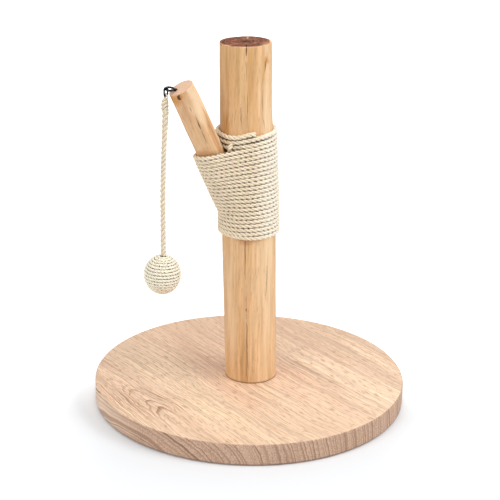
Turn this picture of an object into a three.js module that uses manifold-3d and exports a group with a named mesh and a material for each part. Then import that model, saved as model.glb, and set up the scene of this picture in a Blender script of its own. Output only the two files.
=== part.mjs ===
// A cat scratching post: a straight log standing on a round board, with a branch stub lashed to it by sisal
// rope and a rope toy hanging from the branch's cut end. Millimetres, +Z up, the viewer stands at -Y.
import * as THREE from "three";
import { mergeVertices } from "three/addons/utils/BufferGeometryUtils.js";
import Module from "manifold-3d";

const wasm = await Module();
wasm.setup();

// ---- Driving dimensions ----
const CLEARANCE = 0.3; // between pieces that touch

const BOARD_RADIUS = 175;
const BOARD_THICK = 24;
const BOARD_EDGE = 1.6; // rounding of both rims
const BOARD_SIDES = 80;

const PAD_RADIUS = 15;
const PAD_THICK = 1;
const PAD_COUNT = 4;
const PAD_INSET = 14; // from the board's rim to the pad's edge

const POST_HEIGHT = 384;
const POST_FOOT_RADIUS = 28.4;
const POST_TOP_RADIUS = 28.3;
const POST_FOOT_X = 1.2; // the log stands a little off the board's centre
const POST_FOOT_Y = 1.8;
const POST_LEAN_X = -11.7; // how far its top end lies from above its foot
const POST_LEAN_Y = 0.1;
const POST_RIM = 1.2; // bevel round the top cut
const POST_SIDES = 48;

const BRANCH_LEAN = THREE.MathUtils.degToRad(25.5); // from the vertical
const BRANCH_AZIMUTH = THREE.MathUtils.degToRad(211.4); // the way it leans, from +X over +Y
const BRANCH_ROOT = 165.7; // above the board, where its axis meets the log's
const BRANCH_LENGTH = 197.3; // along its axis from there to the cut end
const BRANCH_ROOT_RADIUS = 13.9;
const BRANCH_TIP_RADIUS = 14.4;
const BRANCH_CUT_TILT = THREE.MathUtils.degToRad(5); // the end is sawn a little off square
const BRANCH_RIM = 0.8;
const BRANCH_TOE_THICK = 2.5; // left at the lower end of the scarf
const BRANCH_SIDES = 32;

const COACH_SCREW_RADIUS = 4;
const COACH_SCREW_LENGTH = 80; // under the head
const COACH_HEAD_WIDTH = 13; // across flats
const COACH_HEAD_HEIGHT = 5.5;
const COACH_SCREW_POINT = 10; // length of the taper
const WASHER_RADIUS = 12;
const WASHER_THICK = 2;
const COUNTERBORE_RADIUS = 14;
const COUNTERBORE_DEPTH = 10;

const WOOD_SCREW_RADIUS = 2.2;
const WOOD_SCREW_HEAD_RADIUS = 4.4;
const WOOD_SCREW_HEAD_HEIGHT = 2.6;
const WOOD_SCREW_POINT = 6.6;
const FOOT_SCREW_LENGTH = 60;
const FOOT_SCREW_MARGIN = 9.4; // from the log's side to a foot screw's axis
const BRANCH_SCREW_LENGTH = 48;
const BRANCH_SCREW_RISES = [13, 39]; // above the scarf's lower end
const BRANCH_SCREW_SINK = 3; // of the head, below the branch's side

const LASHING_DIAMETER = 4.2; // sisal rope drawn tight
const LASHING_TURNS = 24;
const LASHING_TOP = 290; // above the board, first turn at the front
const LASHING_PITCH = 4.96;
const LASHING_POST_TURNS = 3; // the first turns pass behind the branch
const LASHING_CHANGE = 0.25; // of a turn before that, the rope begins to come out round the branch
const LASHING_START = THREE.MathUtils.degToRad(-84); // where the upper end lies, from +X over +Y
const LASHING_TOP_TILT = 3.7; // the rope dips by this much towards the branch
const LASHING_FOOT_TILT = 1;
const LASHING_DIP = 4; // the first turns round the branch dip by this much more where they pass it
const LASHING_STEPS = 20; // in each turn, before the two at each end of the rope's straight runs
const LASHING_SIDES = 6;

const EYE_WIRE_RADIUS = 0.9;
const EYE_RADIUS = 5; // of the eye's centre line
const EYE_SEAT = 6.6; // from the centre of the cut end to the shank
const EYE_LIFT = 1.9; // height of the eye's neck over the cut end
const EYE_RAISE = THREE.MathUtils.degToRad(31); // the eye is bent over to this far above the cut end
const EYE_SHANK = 14; // in the wood
const EYE_POINT = 2; // length of its taper
const EYE_COLLAR_RADIUS = 2.3;
const EYE_COLLAR_THICK = 0.8;
const EYE_POINTING = THREE.MathUtils.degToRad(188); // the way the eye leans out, from +X over +Y
const EYE_HANG_ANGLE = THREE.MathUtils.degToRad(28); // the link rests this far round towards the front
const EYE_STEPS = 28;
const WIRE_SIDES = 10;

const LINK_WIRE_RADIUS = 0.8;
const LINK_INNER_WIDTH = 2.6;
const LINK_INNER_HEIGHT = 7.2;
const ARC_STEPS = 12; // in each half circle of the link and of the rope's eye

const STRAND_RADIUS = 1.1; // the unlaid strand of the rope's eye splice
const STRAND_EYE_WIDTH = 3; // inside
const STRAND_EYE_HEIGHT = 8.4; // from the strand's top to the binding
const STRAND_PINCH = 0.8; // share of the eye's width that is left between its legs at the binding
const BINDING_RADIUS = 3.7;
const BINDING_LENGTH = 8;
const BINDING_FOOT_RADIUS = 3.2;
const BINDING_TAPER = 2.4; // height of its tapered foot

const ROPE_RADIUS = 2.5;
const ROPE_SIDES = 8;
// The hanging rope's centre line below the binding: how far down and how far out to the left, by hand.
const ROPE_ROUTE = [
  [0, 0], [9, -0.3], [18, -0.7], [27, -1.1], [36, -1.5], [46, -1.9], [56, -2.3], [66, -2.7],
  [77, -3.0], [88, -3.2], [99, -3.3], [110, -3.2], [121, -3.0], [132, -2.7], [143, -2.5], [153, -2.4],
  [162, -2.4],
];
const BALL_DRIFT = -3.9; // the ball's centre lies this far left of the binding
const BALL_RADIUS = 20.4;
const BALL_HALF_HEIGHT = 22.9;
const BALL_CORD_DIAMETER = 3.05;
const BALL_CORD_TURNS = 13;
const BALL_CORD_STEPS = 14;
const BALL_CORD_SIDES = 5;
const BALL_POLE_RADIUS = 6.4; // bare round the rope and the knot
const KNOT_RADIUS = 5.2;
const KNOT_HEIGHT = 9;
const KNOT_EDGE = 2.4; // bevel of both its ends
const KNOT_INSET = 1; // above the core's lower end

const CORE_BANDS = 10;
const SMOOTH = 20; // sides of what is turned
const OVERRUN = 10; // how far a bore passes the face it starts from
const BISECTIONS = 20;

// ---- Materials ----
const material = (color, roughness, metalness = 0) =>
  new THREE.MeshStandardMaterial({ color, roughness, metalness });
const boardWood = material(0xdcb78c, 0.55);
const logWood = material(0xd9ae74, 0.6);
const branchWood = material(0xd2a673, 0.62);
const sisal = material(0xe4d6b8, 0.9);
const ballSisal = material(0xddcba6, 0.9);
const blackSteel = material(0x1d1d1f, 0.3, 0.9);
const zincSteel = material(0xb5b8ba, 0.35, 0.9);
const padFelt = material(0x5b5148, 0.95);
const coreWood = material(0xc9a878, 0.8);

// ---- Geometry helpers ----
const vec = (x, y, z) => new THREE.Vector3(x, y, z);
const along = (origin, direction, distance) => origin.clone().addScaledVector(direction, distance);
const Z_AXIS = vec(0, 0, 1);

// A closed skin over rings of points; each ring has as many points, and both ends are closed by a fan.
function skin(rings) {
  const sides = rings[0].length;
  const points = rings.flat();
  const index = [];
  for (let i = 0; i + 1 < rings.length; i++) {
    for (let j = 0; j < sides; j++) {
      const a = i * sides + j;
      const b = i * sides + ((j + 1) % sides);
      index.push(a, b, b + sides, a, b + sides, a + sides);
    }
  }
  const last = (rings.length - 1) * sides;
  const centres = [rings[0], rings[rings.length - 1]].map((ring) =>
    ring.reduce((sum, p) => sum.add(p), vec(0, 0, 0)).divideScalar(sides));
  points.push(...centres);
  for (let j = 0; j < sides; j++) {
    const k = (j + 1) % sides;
    index.push(points.length - 2, k, j, points.length - 1, last + j, last + k);
  }
  return new THREE.BufferGeometry().setFromPoints(points).setIndex(index);
}

// A tube's rings: round each point of the path, with the given direction out of the tube's own bend.
function tubeRings(path, outwards, radius, sides) {
  return path.map((point, i) => {
    const before = path[Math.max(0, i - 1)];
    const after = path[Math.min(path.length - 1, i + 1)];
    const tangent = after.clone().sub(before).normalize();
    const out = outwards[i].clone().addScaledVector(tangent, -outwards[i].dot(tangent)).normalize();
    const side = tangent.clone().cross(out);
    return Array.from({ length: sides }, (_, j) => {
      const turn = (2 * Math.PI * j) / sides;
      const reach = along(point, out, radius * Math.cos(turn));
      return reach.addScaledVector(side, radius * Math.sin(turn));
    });
  });
}
const tube = (path, outwards, radius, sides) => skin(tubeRings(path, outwards, radius, sides));

// A turned solid round the +Z axis; the profile runs from the axis at the bottom to the axis at the top.
function turned(profile, sides = SMOOTH) {
  const points = profile.map(([radius, height]) => new THREE.Vector2(radius, height));
  return new THREE.LatheGeometry(points, sides).rotateX(Math.PI / 2);
}

// The same geometry with its +Z axis laid along a direction and its origin at a point.
function placed(geometry, origin, direction) {
  const turn = new THREE.Quaternion().setFromUnitVectors(Z_AXIS, direction);
  return geometry.applyQuaternion(turn).translate(origin.x, origin.y, origin.z);
}

function solid(geometry) {
  const bare = new THREE.BufferGeometry().setAttribute("position", geometry.getAttribute("position"));
  if (geometry.index) bare.setIndex(geometry.index);
  const merged = mergeVertices(bare, 1e-3);
  return new wasm.Manifold(new wasm.Mesh({
    numProp: 3,
    vertProperties: merged.attributes.position.array,
    triVerts: new Uint32Array(merged.index.array),
  }));
}

function surface(manifold) {
  const mesh = manifold.getMesh();
  return new THREE.BufferGeometry()
    .setAttribute("position", new THREE.BufferAttribute(mesh.vertProperties, 3))
    .setIndex(new THREE.BufferAttribute(mesh.triVerts, 1));
}

const cut = (geometry, ...tools) =>
  surface(tools.reduce((body, tool) => body.subtract(solid(tool)), solid(geometry)));
const join = (geometry, ...others) =>
  surface(others.reduce((body, other) => body.add(solid(other)), solid(geometry)));

const part = new THREE.Group();
function add(name, geometry, look) {
  const mesh = new THREE.Mesh(geometry, look);
  mesh.name = name;
  part.add(mesh);
}

// ---- Levels and axes that several pieces share ----
const BOARD_TOP = PAD_THICK + BOARD_THICK;
const postShare = (z) => (z - BOARD_TOP) / POST_HEIGHT;
const postCentre = (z) =>
  vec(POST_FOOT_X + POST_LEAN_X * postShare(z), POST_FOOT_Y + POST_LEAN_Y * postShare(z), z);
const postRadius = (z) => THREE.MathUtils.lerp(POST_FOOT_RADIUS, POST_TOP_RADIUS, postShare(z));

const branchAxis = vec(
  Math.sin(BRANCH_LEAN) * Math.cos(BRANCH_AZIMUTH),
  Math.sin(BRANCH_LEAN) * Math.sin(BRANCH_AZIMUTH),
  Math.cos(BRANCH_LEAN),
);
const branchRoot = postCentre(BOARD_TOP + BRANCH_ROOT);
const branchPoint = (s) => along(branchRoot, branchAxis, s);
const branchRadius = (s) =>
  THREE.MathUtils.lerp(BRANCH_ROOT_RADIUS, BRANCH_TIP_RADIUS, s / BRANCH_LENGTH);
const branchSide = Z_AXIS.clone().cross(branchAxis).normalize();
const branchFront = branchAxis.clone().cross(branchSide);
const leanWay = vec(Math.cos(BRANCH_AZIMUTH), Math.sin(BRANCH_AZIMUTH), 0);
const branchTip = branchPoint(BRANCH_LENGTH);
// The sawn end's normal, tipped from the branch's axis towards the left.
const cutNormal = branchAxis.clone()
  .applyAxisAngle(branchAxis.clone().cross(vec(-1, 0, 0)).normalize(), BRANCH_CUT_TILT);

// ---- Board and pads ----
const padRing = BOARD_RADIUS - PAD_INSET - PAD_RADIUS;
for (let i = 0; i < PAD_COUNT; i++) {
  const angle = ((i + 0.5) / PAD_COUNT) * 2 * Math.PI;
  const pad = turned([[0, 0], [PAD_RADIUS, 0], [PAD_RADIUS, PAD_THICK], [0, PAD_THICK]]);
  pad.translate(padRing * Math.cos(angle), padRing * Math.sin(angle), 0);
  add(`floor_pad_${i + 1}`, pad, padFelt);
}

const footCentre = postCentre(BOARD_TOP);
const footScrewOut = POST_FOOT_RADIUS - FOOT_SCREW_MARGIN;
const footScrewPlaces = [-1, 1].map((side) =>
  vec(footCentre.x + side * footScrewOut, footCentre.y, PAD_THICK));
const edgeRound = [0, 30, 60, 90].map((degrees) => {
  const angle = THREE.MathUtils.degToRad(degrees);
  return [BOARD_EDGE * Math.sin(angle), BOARD_EDGE * Math.cos(angle)];
});
const flatRadius = BOARD_RADIUS - BOARD_EDGE;
const boardProfile = [
  [0, 0],
  ...edgeRound.map(([out, up]) => [flatRadius + out, BOARD_EDGE - up]),
  ...edgeRound.map(([up, out]) => [flatRadius + out, BOARD_THICK - BOARD_EDGE + up]),
  [0, BOARD_THICK],
];
const boardBlank = turned(boardProfile, BOARD_SIDES).translate(0, 0, PAD_THICK);
const bore = (radius, from, length, direction = Z_AXIS) =>
  placed(turned([[0, 0], [radius, 0], [radius, length], [0, length]]), from, direction);
// The hollow for a countersunk wood screw: a cone at the head and a bore round the shank.
function screwHollow(from, direction, length) {
  const r = WOOD_SCREW_RADIUS + CLEARANCE;
  const head = WOOD_SCREW_HEAD_RADIUS + CLEARANCE;
  const profile = [
    [0, -OVERRUN], [head, -OVERRUN], [head, CLEARANCE], [r, WOOD_SCREW_HEAD_HEIGHT + CLEARANCE],
    [r, length + CLEARANCE], [0, length + CLEARANCE],
  ];
  return placed(turned(profile), from, direction);
}
function woodScrew(from, direction, length) {
  const profile = [
    [0, 0], [WOOD_SCREW_HEAD_RADIUS, 0], [WOOD_SCREW_RADIUS, WOOD_SCREW_HEAD_HEIGHT],
    [WOOD_SCREW_RADIUS, length - WOOD_SCREW_POINT], [0, length],
  ];
  return placed(turned(profile), from, direction);
}
const washerBottom = PAD_THICK + COUNTERBORE_DEPTH - CLEARANCE - WASHER_THICK;
const underBoard = vec(footCentre.x, footCentre.y, PAD_THICK - OVERRUN);
const coachBore = bore(COACH_SCREW_RADIUS + CLEARANCE, underBoard, BOARD_THICK + 2 * OVERRUN);
const counterbore = bore(COUNTERBORE_RADIUS, underBoard, OVERRUN + COUNTERBORE_DEPTH);
add("base_board", cut(boardBlank, coachBore, counterbore,
  ...footScrewPlaces.map((from) => screwHollow(from, Z_AXIS, FOOT_SCREW_LENGTH))), boardWood);

// ---- Screws that hold the log to the board ----
const washer = new THREE.Shape().absarc(0, 0, WASHER_RADIUS, 0, 2 * Math.PI);
washer.holes.push(new THREE.Path().absarc(0, 0, COACH_SCREW_RADIUS + CLEARANCE, 0, 2 * Math.PI, true));
add("coach_screw_washer",
  new THREE.ExtrudeGeometry(washer, { depth: WASHER_THICK, bevelEnabled: false, curveSegments: SMOOTH / 2 })
    .translate(footCentre.x, footCentre.y, washerBottom), zincSteel);

const headBottom = washerBottom - CLEARANCE - COACH_HEAD_HEIGHT;
const hexRadius = COACH_HEAD_WIDTH / Math.sqrt(3);
const hexHead = turned([[0, 0], [hexRadius, 0], [hexRadius, COACH_HEAD_HEIGHT], [0, COACH_HEAD_HEIGHT]], 6);
const coachTip = COACH_HEAD_HEIGHT + COACH_SCREW_LENGTH;
const coachShank = turned([
  [0, COACH_HEAD_HEIGHT / 2], [COACH_SCREW_RADIUS, COACH_HEAD_HEIGHT / 2],
  [COACH_SCREW_RADIUS, coachTip - COACH_SCREW_POINT], [0, coachTip],
]);
add("coach_screw",
  join(hexHead, coachShank).translate(footCentre.x, footCentre.y, headBottom), zincSteel);
footScrewPlaces.forEach((from, i) => {
  const screw = woodScrew(along(from, Z_AXIS, CLEARANCE), Z_AXIS, FOOT_SCREW_LENGTH);
  add(`foot_screw_${i + 1}`, screw, zincSteel);
});

// ---- The log ----
function postRings(grow, bottom, top) {
  return [[bottom, 0], [top - POST_RIM, 0], [top, POST_RIM]].map(([z, inset]) => {
    const centre = postCentre(z);
    const radius = postRadius(z) + grow - inset;
    return Array.from({ length: POST_SIDES }, (_, j) => {
      const angle = (2 * Math.PI * j) / POST_SIDES;
      return vec(centre.x + radius * Math.cos(angle), centre.y + radius * Math.sin(angle), z);
    });
  });
}
const postBottom = BOARD_TOP + CLEARANCE;
const postTop = BOARD_TOP + POST_HEIGHT;
const postScrewBore = bore(COACH_SCREW_RADIUS + CLEARANCE, along(footCentre, Z_AXIS, -OVERRUN),
  OVERRUN + headBottom + coachTip + CLEARANCE - BOARD_TOP);

// The scarf's lower end is where the stick stands this far proud of the log.
const toeS = (POST_FOOT_RADIUS + CLEARANCE + BRANCH_TOE_THICK - BRANCH_ROOT_RADIUS / Math.cos(BRANCH_LEAN))
  / Math.sin(BRANCH_LEAN);
const toeZ = branchPoint(toeS).z;

// The two screws through the branch run level, square to the log, from under the lashing.
const branchScrews = BRANCH_SCREW_RISES.map((rise) => {
  const z = toeZ + rise;
  const s = (z - branchRoot.z) / branchAxis.z;
  const centre = branchPoint(s);
  const outside = along(centre, leanWay, branchRadius(s) / Math.cos(BRANCH_LEAN) - BRANCH_SCREW_SINK);
  return { from: outside, direction: leanWay.clone().negate() };
});
const branchScrewHollows = branchScrews.map(({ from, direction }) =>
  screwHollow(from, direction, BRANCH_SCREW_LENGTH));
add("post_log", cut(skin(postRings(0, postBottom, postTop)), postScrewBore,
  ...footScrewPlaces.map((from) => screwHollow(from, Z_AXIS, FOOT_SCREW_LENGTH)),
  ...branchScrewHollows), logWood);

// ---- The branch: a round stick, scarfed to the log ----
function branchRing(s, inset = 0) {
  const centre = branchPoint(s);
  const radius = branchRadius(s) - inset;
  return Array.from({ length: BRANCH_SIDES }, (_, j) => {
    const angle = (2 * Math.PI * j) / BRANCH_SIDES;
    return along(centre, branchSide, radius * Math.cos(angle))
      .addScaledVector(branchFront, radius * Math.sin(angle));
  });
}
// Moves a ring's points along the branch onto the plane of the sawn end.
const sawn = (ring, drop) => ring.map((p) =>
  along(p, branchAxis, -(p.clone().sub(branchTip).dot(cutNormal)) / branchAxis.dot(cutNormal) - drop));
const branchBlank = skin([
  branchRing(0),
  sawn(branchRing(BRANCH_LENGTH), BRANCH_RIM),
  sawn(branchRing(BRANCH_LENGTH, BRANCH_RIM), 0),
]);
const belowToe = new THREE.BoxGeometry(4 * POST_FOOT_RADIUS, 4 * POST_FOOT_RADIUS, toeZ);
belowToe.translate(branchRoot.x, branchRoot.y, toeZ / 2);

const eyeOut = vec(Math.cos(EYE_POINTING), Math.sin(EYE_POINTING), 0);
eyeOut.addScaledVector(cutNormal, -eyeOut.dot(cutNormal)).normalize();
const eyeSeat = along(branchTip, eyeOut, EYE_SEAT);
const eyeBore = placed(turned([
  [0, -EYE_SHANK - CLEARANCE], [EYE_WIRE_RADIUS + CLEARANCE, -EYE_SHANK - CLEARANCE],
  [EYE_WIRE_RADIUS + CLEARANCE, OVERRUN], [0, OVERRUN],
], WIRE_SIDES), eyeSeat, cutNormal);
const logSpace = skin(postRings(CLEARANCE, BOARD_TOP, postTop + OVERRUN));
add("branch", cut(branchBlank, logSpace, belowToe, ...branchScrewHollows, eyeBore), branchWood);
branchScrews.forEach(({ from, direction }, i) => {
  const screw = woodScrew(along(from, direction, CLEARANCE), direction, BRANCH_SCREW_LENGTH);
  add(`branch_screw_${i + 1}`, screw, zincSteel);
});

// ---- The lashing: one rope wound round log and branch ----
// The furthest points of the log's and the branch's sections at a height, in a level direction.
const onLog = (z, outward, grow) => along(postCentre(z), outward, postRadius(z) + grow);
function onBranch(z, outward, grow) {
  const s = (z - branchRoot.z) / branchAxis.z;
  const long = branchRadius(s) / Math.cos(BRANCH_LEAN);
  const across = vec(-leanWay.y, leanWay.x, 0);
  const u = long * outward.dot(leanWay);
  const v = branchRadius(s) * outward.dot(across);
  const reach = Math.hypot(u, v);
  return branchPoint(s)
    .addScaledVector(leanWay, (long * u) / reach)
    .addScaledVector(across, (branchRadius(s) * v) / reach)
    .addScaledVector(outward, grow);
}
const lashingRadius = LASHING_DIAMETER / 2;
// Straight steps of the rope cut the corner of the curve by about this much.
const lashingSag = POST_FOOT_RADIUS * (1 - Math.cos(Math.PI / LASHING_STEPS));
const lashingGrow = lashingRadius + CLEARANCE + lashingSag;
// Where the rope would lie on the log and on the branch after some turns, and which of the two holds it out.
function lashingAt(turn) {
  const angle = LASHING_START - 2 * Math.PI * turn;
  const outward = vec(Math.cos(angle), Math.sin(angle), 0);
  const tilt = THREE.MathUtils.lerp(LASHING_TOP_TILT, LASHING_FOOT_TILT, turn / LASHING_TURNS);
  const comesOut = LASHING_POST_TURNS - LASHING_CHANGE;
  const facing = outward.dot(leanWay);
  const roundBranch = THREE.MathUtils.smoothstep(turn, comesOut, LASHING_POST_TURNS);
  const dip = LASHING_DIP * (1 - turn / LASHING_TURNS) * roundBranch * Math.max(0, facing) ** 2;
  const z = BOARD_TOP + LASHING_TOP - LASHING_PITCH * turn - tilt * facing - dip;
  const log = onLog(z, outward, lashingGrow);
  const branch = onBranch(z, outward, lashingGrow);
  const branchHolds = turn > comesOut && branch.dot(outward) > log.dot(outward);
  return { log, branch, outward, branchHolds };
}
const held = (at, byBranch) => ({ point: byBranch ? at.branch : at.log, outward: at.outward });
// One point a step, and two more where the rope leaves the log for the branch or comes back to it.
const lashing = [];
for (let i = 0; i <= LASHING_TURNS * LASHING_STEPS; i++) {
  const turn = i / LASHING_STEPS;
  const at = lashingAt(turn);
  if (i > 0 && lashingAt(turn - 1 / LASHING_STEPS).branchHolds !== at.branchHolds) {
    let low = turn - 1 / LASHING_STEPS;
    let high = turn;
    for (let k = 0; k < BISECTIONS; k++) {
      const middle = (low + high) / 2;
      if (lashingAt(middle).branchHolds === at.branchHolds) high = middle;
      else low = middle;
    }
    lashing.push(held(lashingAt(high), !at.branchHolds), held(lashingAt(high), at.branchHolds));
  }
  lashing.push(held(at, at.branchHolds));
}
const lashingPath = lashing.map((l) => l.point);
add("post_lashing",
  tube(lashingPath, lashing.map((l) => l.outward), lashingRadius, LASHING_SIDES), sisal);

// The least gap between a wound tube's turns, measured on points of its centre line.
function leastGap(points, stepsPerTurn, diameter) {
  let least = Infinity;
  points.forEach((p, i) => {
    for (let j = i + Math.round(stepsPerTurn / 2); j < points.length; j++) {
      least = Math.min(least, p.distanceTo(points[j]));
    }
  });
  return least - diameter;
}
const reportGap = (name, points, steps, diameter) =>
  console.log(`${name}: least gap to itself ${leastGap(points, steps, diameter).toFixed(2)} mm`);
reportGap("post_lashing", lashingPath, LASHING_STEPS, LASHING_DIAMETER);

// ---- Screw eye in the cut end ----
const eyeWay = eyeOut.clone().multiplyScalar(Math.cos(EYE_RAISE))
  .addScaledVector(cutNormal, Math.sin(EYE_RAISE));
const eyeCentre = along(along(eyeSeat, cutNormal, EYE_LIFT), eyeWay, EYE_RADIUS);
const eyeFront = cutNormal.clone().cross(eyeOut);
// A direction in the eye's plane, from its neck (-180 degrees) round to where it closes again.
const eyeRay = (angle) => eyeWay.clone().multiplyScalar(Math.cos(angle))
  .addScaledVector(eyeFront, Math.sin(angle));
const eyePoint = (angle) => along(eyeCentre, eyeRay(angle), EYE_RADIUS);
const eyeGapAngle = (2 * EYE_WIRE_RADIUS + CLEARANCE) / EYE_RADIUS;
const eyeBend = Array.from({ length: EYE_STEPS + 1 }, (_, i) =>
  -Math.PI + ((2 * Math.PI - eyeGapAngle) * i) / EYE_STEPS);
const eyeRing = tube(eyeBend.map(eyePoint), eyeBend.map(eyeRay), EYE_WIRE_RADIUS, WIRE_SIDES);
const neckTop = EYE_LIFT + EYE_WIRE_RADIUS / 2;
const eyeShank = placed(turned([
  [0, -EYE_SHANK], [EYE_WIRE_RADIUS, -EYE_SHANK + EYE_POINT], [EYE_WIRE_RADIUS, CLEARANCE],
  [EYE_COLLAR_RADIUS, CLEARANCE], [EYE_COLLAR_RADIUS, CLEARANCE + EYE_COLLAR_THICK],
  [EYE_WIRE_RADIUS, CLEARANCE + EYE_COLLAR_THICK], [EYE_WIRE_RADIUS, neckTop], [0, neckTop],
]), eyeSeat, cutNormal);
add("screw_eye", join(eyeRing, eyeShank), blackSteel);

// ---- Link that hangs in the eye ----
const hangPoint = eyePoint(EYE_HANG_ANGLE);
const eyeTangent = eyeRay(EYE_HANG_ANGLE + Math.PI / 2);
const linkNormal = vec(eyeTangent.x, eyeTangent.y, 0).normalize();
const linkAcross = Z_AXIS.clone().cross(linkNormal);
const linkBend = LINK_INNER_WIDTH / 2 + LINK_WIRE_RADIUS; // of its centre line
const linkStraight = LINK_INNER_HEIGHT - LINK_INNER_WIDTH;
const linkTopBend = along(hangPoint, Z_AXIS, EYE_WIRE_RADIUS + CLEARANCE - LINK_INNER_WIDTH / 2);
const linkFootBend = along(linkTopBend, Z_AXIS, -linkStraight);
// Half a circle of wire in the upright plane of a level direction, from that direction onwards.
function halfCircle(centre, level, radius, from = 0) {
  return Array.from({ length: ARC_STEPS + 1 }, (_, k) => {
    const angle = from + (Math.PI * k) / ARC_STEPS;
    const out = level.clone().multiplyScalar(Math.cos(angle)).addScaledVector(Z_AXIS, Math.sin(angle));
    return { point: along(centre, out, radius), out };
  });
}
// A closed ring of wire: the last ring of points is stitched to the first.
function closedWire(path, radius, sides) {
  const round = [path[path.length - 1], ...path, path[0]];
  const rings = tubeRings(round.map((p) => p.point), round.map((p) => p.out), radius, sides)
    .slice(1, -1);
  const index = [];
  rings.forEach((ring, i) => {
    const next = ((i + 1) % rings.length) * sides;
    for (let j = 0; j < sides; j++) {
      const k = (j + 1) % sides;
      index.push(i * sides + j, i * sides + k, next + k, i * sides + j, next + k, next + j);
    }
  });
  return new THREE.BufferGeometry().setFromPoints(rings.flat()).setIndex(index);
}
add("hanging_link", closedWire([
  ...halfCircle(linkTopBend, linkAcross, linkBend),
  ...halfCircle(linkFootBend, linkAcross, linkBend, Math.PI),
], LINK_WIRE_RADIUS, WIRE_SIDES), blackSteel);

// ---- The rope's eye, its binding and the rope ----
// The strand passes over the link's lower bend in a plane square to the link.
const strandTop = along(linkFootBend, Z_AXIS, -LINK_INNER_WIDTH / 2 + CLEARANCE + STRAND_RADIUS);
const strandBend = STRAND_EYE_WIDTH / 2 + STRAND_RADIUS;
const strandArcCentre = along(strandTop, Z_AXIS, -strandBend);
const bindingTop = strandTop.z - STRAND_EYE_HEIGHT;
const legsFoot = along(strandArcCentre, Z_AXIS, bindingTop + CLEARANCE - strandArcCentre.z);
const legEnd = (side) => ({
  point: along(legsFoot, linkNormal, side * strandBend * STRAND_PINCH),
  out: linkNormal.clone().multiplyScalar(side),
});
const strandPath = [legEnd(1), ...halfCircle(strandArcCentre, linkNormal, strandBend), legEnd(-1)];
add("rope_eye",
  tube(strandPath.map((p) => p.point), strandPath.map((p) => p.out), STRAND_RADIUS, ROPE_SIDES), sisal);

const bindingFoot = vec(strandTop.x, strandTop.y, bindingTop - BINDING_LENGTH);
add("rope_binding", turned([
  [0, 0], [BINDING_FOOT_RADIUS, 0], [BINDING_RADIUS, BINDING_TAPER],
  [BINDING_RADIUS, BINDING_LENGTH], [0, BINDING_LENGTH],
]).translate(bindingFoot.x, bindingFoot.y, bindingFoot.z), sisal);

const ropeStart = along(bindingFoot, Z_AXIS, -CLEARANCE);
const ropePath = ROPE_ROUTE.map(([down, drift]) => vec(ropeStart.x + drift, ropeStart.y, ropeStart.z - down));
add("hanging_rope", tube(ropePath, ropePath.map(() => vec(0, -1, 0)), ROPE_RADIUS, ROPE_SIDES), sisal);

// ---- The ball: a wooden core wound with sisal cord, held by a knot in the rope's end ----
const ropeEnd = ropePath[ropePath.length - 1];
const cordRadius = BALL_CORD_DIAMETER / 2;
const ballCentre = vec(ropeStart.x + BALL_DRIFT, ropeStart.y, ropeEnd.z + cordRadius - BALL_HALF_HEIGHT);
const windRadius = BALL_RADIUS - cordRadius; // of the cord's centre line
const windHalfHeight = BALL_HALF_HEIGHT - cordRadius;
const poleAngle = Math.asin(BALL_POLE_RADIUS / windRadius);
function ballCordPoint(turn) {
  const polar = THREE.MathUtils.lerp(poleAngle, Math.PI - poleAngle, turn / BALL_CORD_TURNS);
  const angle = 2 * Math.PI * turn;
  const outward = vec(Math.cos(angle), Math.sin(angle), 0).multiplyScalar(Math.sin(polar));
  outward.z = Math.cos(polar);
  const reach = outward.clone().multiply(vec(windRadius, windRadius, windHalfHeight));
  return { point: reach.add(ballCentre), outward };
}
const ballCord = Array.from({ length: BALL_CORD_TURNS * BALL_CORD_STEPS + 1 }, (_, i) =>
  ballCordPoint(i / BALL_CORD_STEPS));
const ballPath = ballCord.map((b) => b.point);
add("ball_cord",
  tube(ballPath, ballCord.map((b) => b.outward), cordRadius, BALL_CORD_SIDES), ballSisal);
reportGap("ball_cord", ballPath, BALL_CORD_STEPS, BALL_CORD_DIAMETER);

const cordSag = windRadius * (1 - Math.cos(Math.PI / BALL_CORD_STEPS));
const coreRadius = windRadius - cordRadius - CLEARANCE - cordSag;
const coreHalfHeight = windHalfHeight - cordRadius - CLEARANCE;
const coreProfile = Array.from({ length: CORE_BANDS + 1 }, (_, i) => {
  const polar = Math.PI - (Math.PI * i) / CORE_BANDS;
  const onAxis = i === 0 || i === CORE_BANDS;
  return [onAxis ? 0 : coreRadius * Math.sin(polar), coreHalfHeight * Math.cos(polar)];
});
const coreBlank = turned(coreProfile).translate(ballCentre.x, ballCentre.y, ballCentre.z);
const coreBore = bore(ROPE_RADIUS + CLEARANCE, vec(ropeEnd.x, ropeEnd.y, ballCentre.z - BALL_HALF_HEIGHT),
  2 * BALL_HALF_HEIGHT);
const knotFoot = vec(ropeEnd.x, ropeEnd.y, ballCentre.z - coreHalfHeight + KNOT_INSET);
const knotHollow = bore(KNOT_RADIUS + CLEARANCE, along(knotFoot, Z_AXIS, -OVERRUN),
  OVERRUN + KNOT_HEIGHT + CLEARANCE);
add("ball_core", cut(coreBlank, coreBore, knotHollow), coreWood);
const tailTop = ropeEnd.z - CLEARANCE - knotFoot.z; // of the rope inside the ball, above the knot
add("rope_knot", turned([
  [0, 0], [KNOT_RADIUS - KNOT_EDGE, 0], [KNOT_RADIUS, KNOT_EDGE],
  [KNOT_RADIUS, KNOT_HEIGHT - KNOT_EDGE], [ROPE_RADIUS, KNOT_HEIGHT],
  [ROPE_RADIUS, tailTop], [0, tailTop],
]).translate(knotFoot.x, knotFoot.y, knotFoot.z), sisal);

export default part;
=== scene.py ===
"""The looks of a cat scratching post: a peeled log on a round board, a branch lashed to it with sisal rope,
and a rope toy with a wound ball that hangs from a screw eye in the branch's sawn end."""

import math

import bpy
import numpy as np
from mathutils import Matrix, Vector, noise


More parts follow.
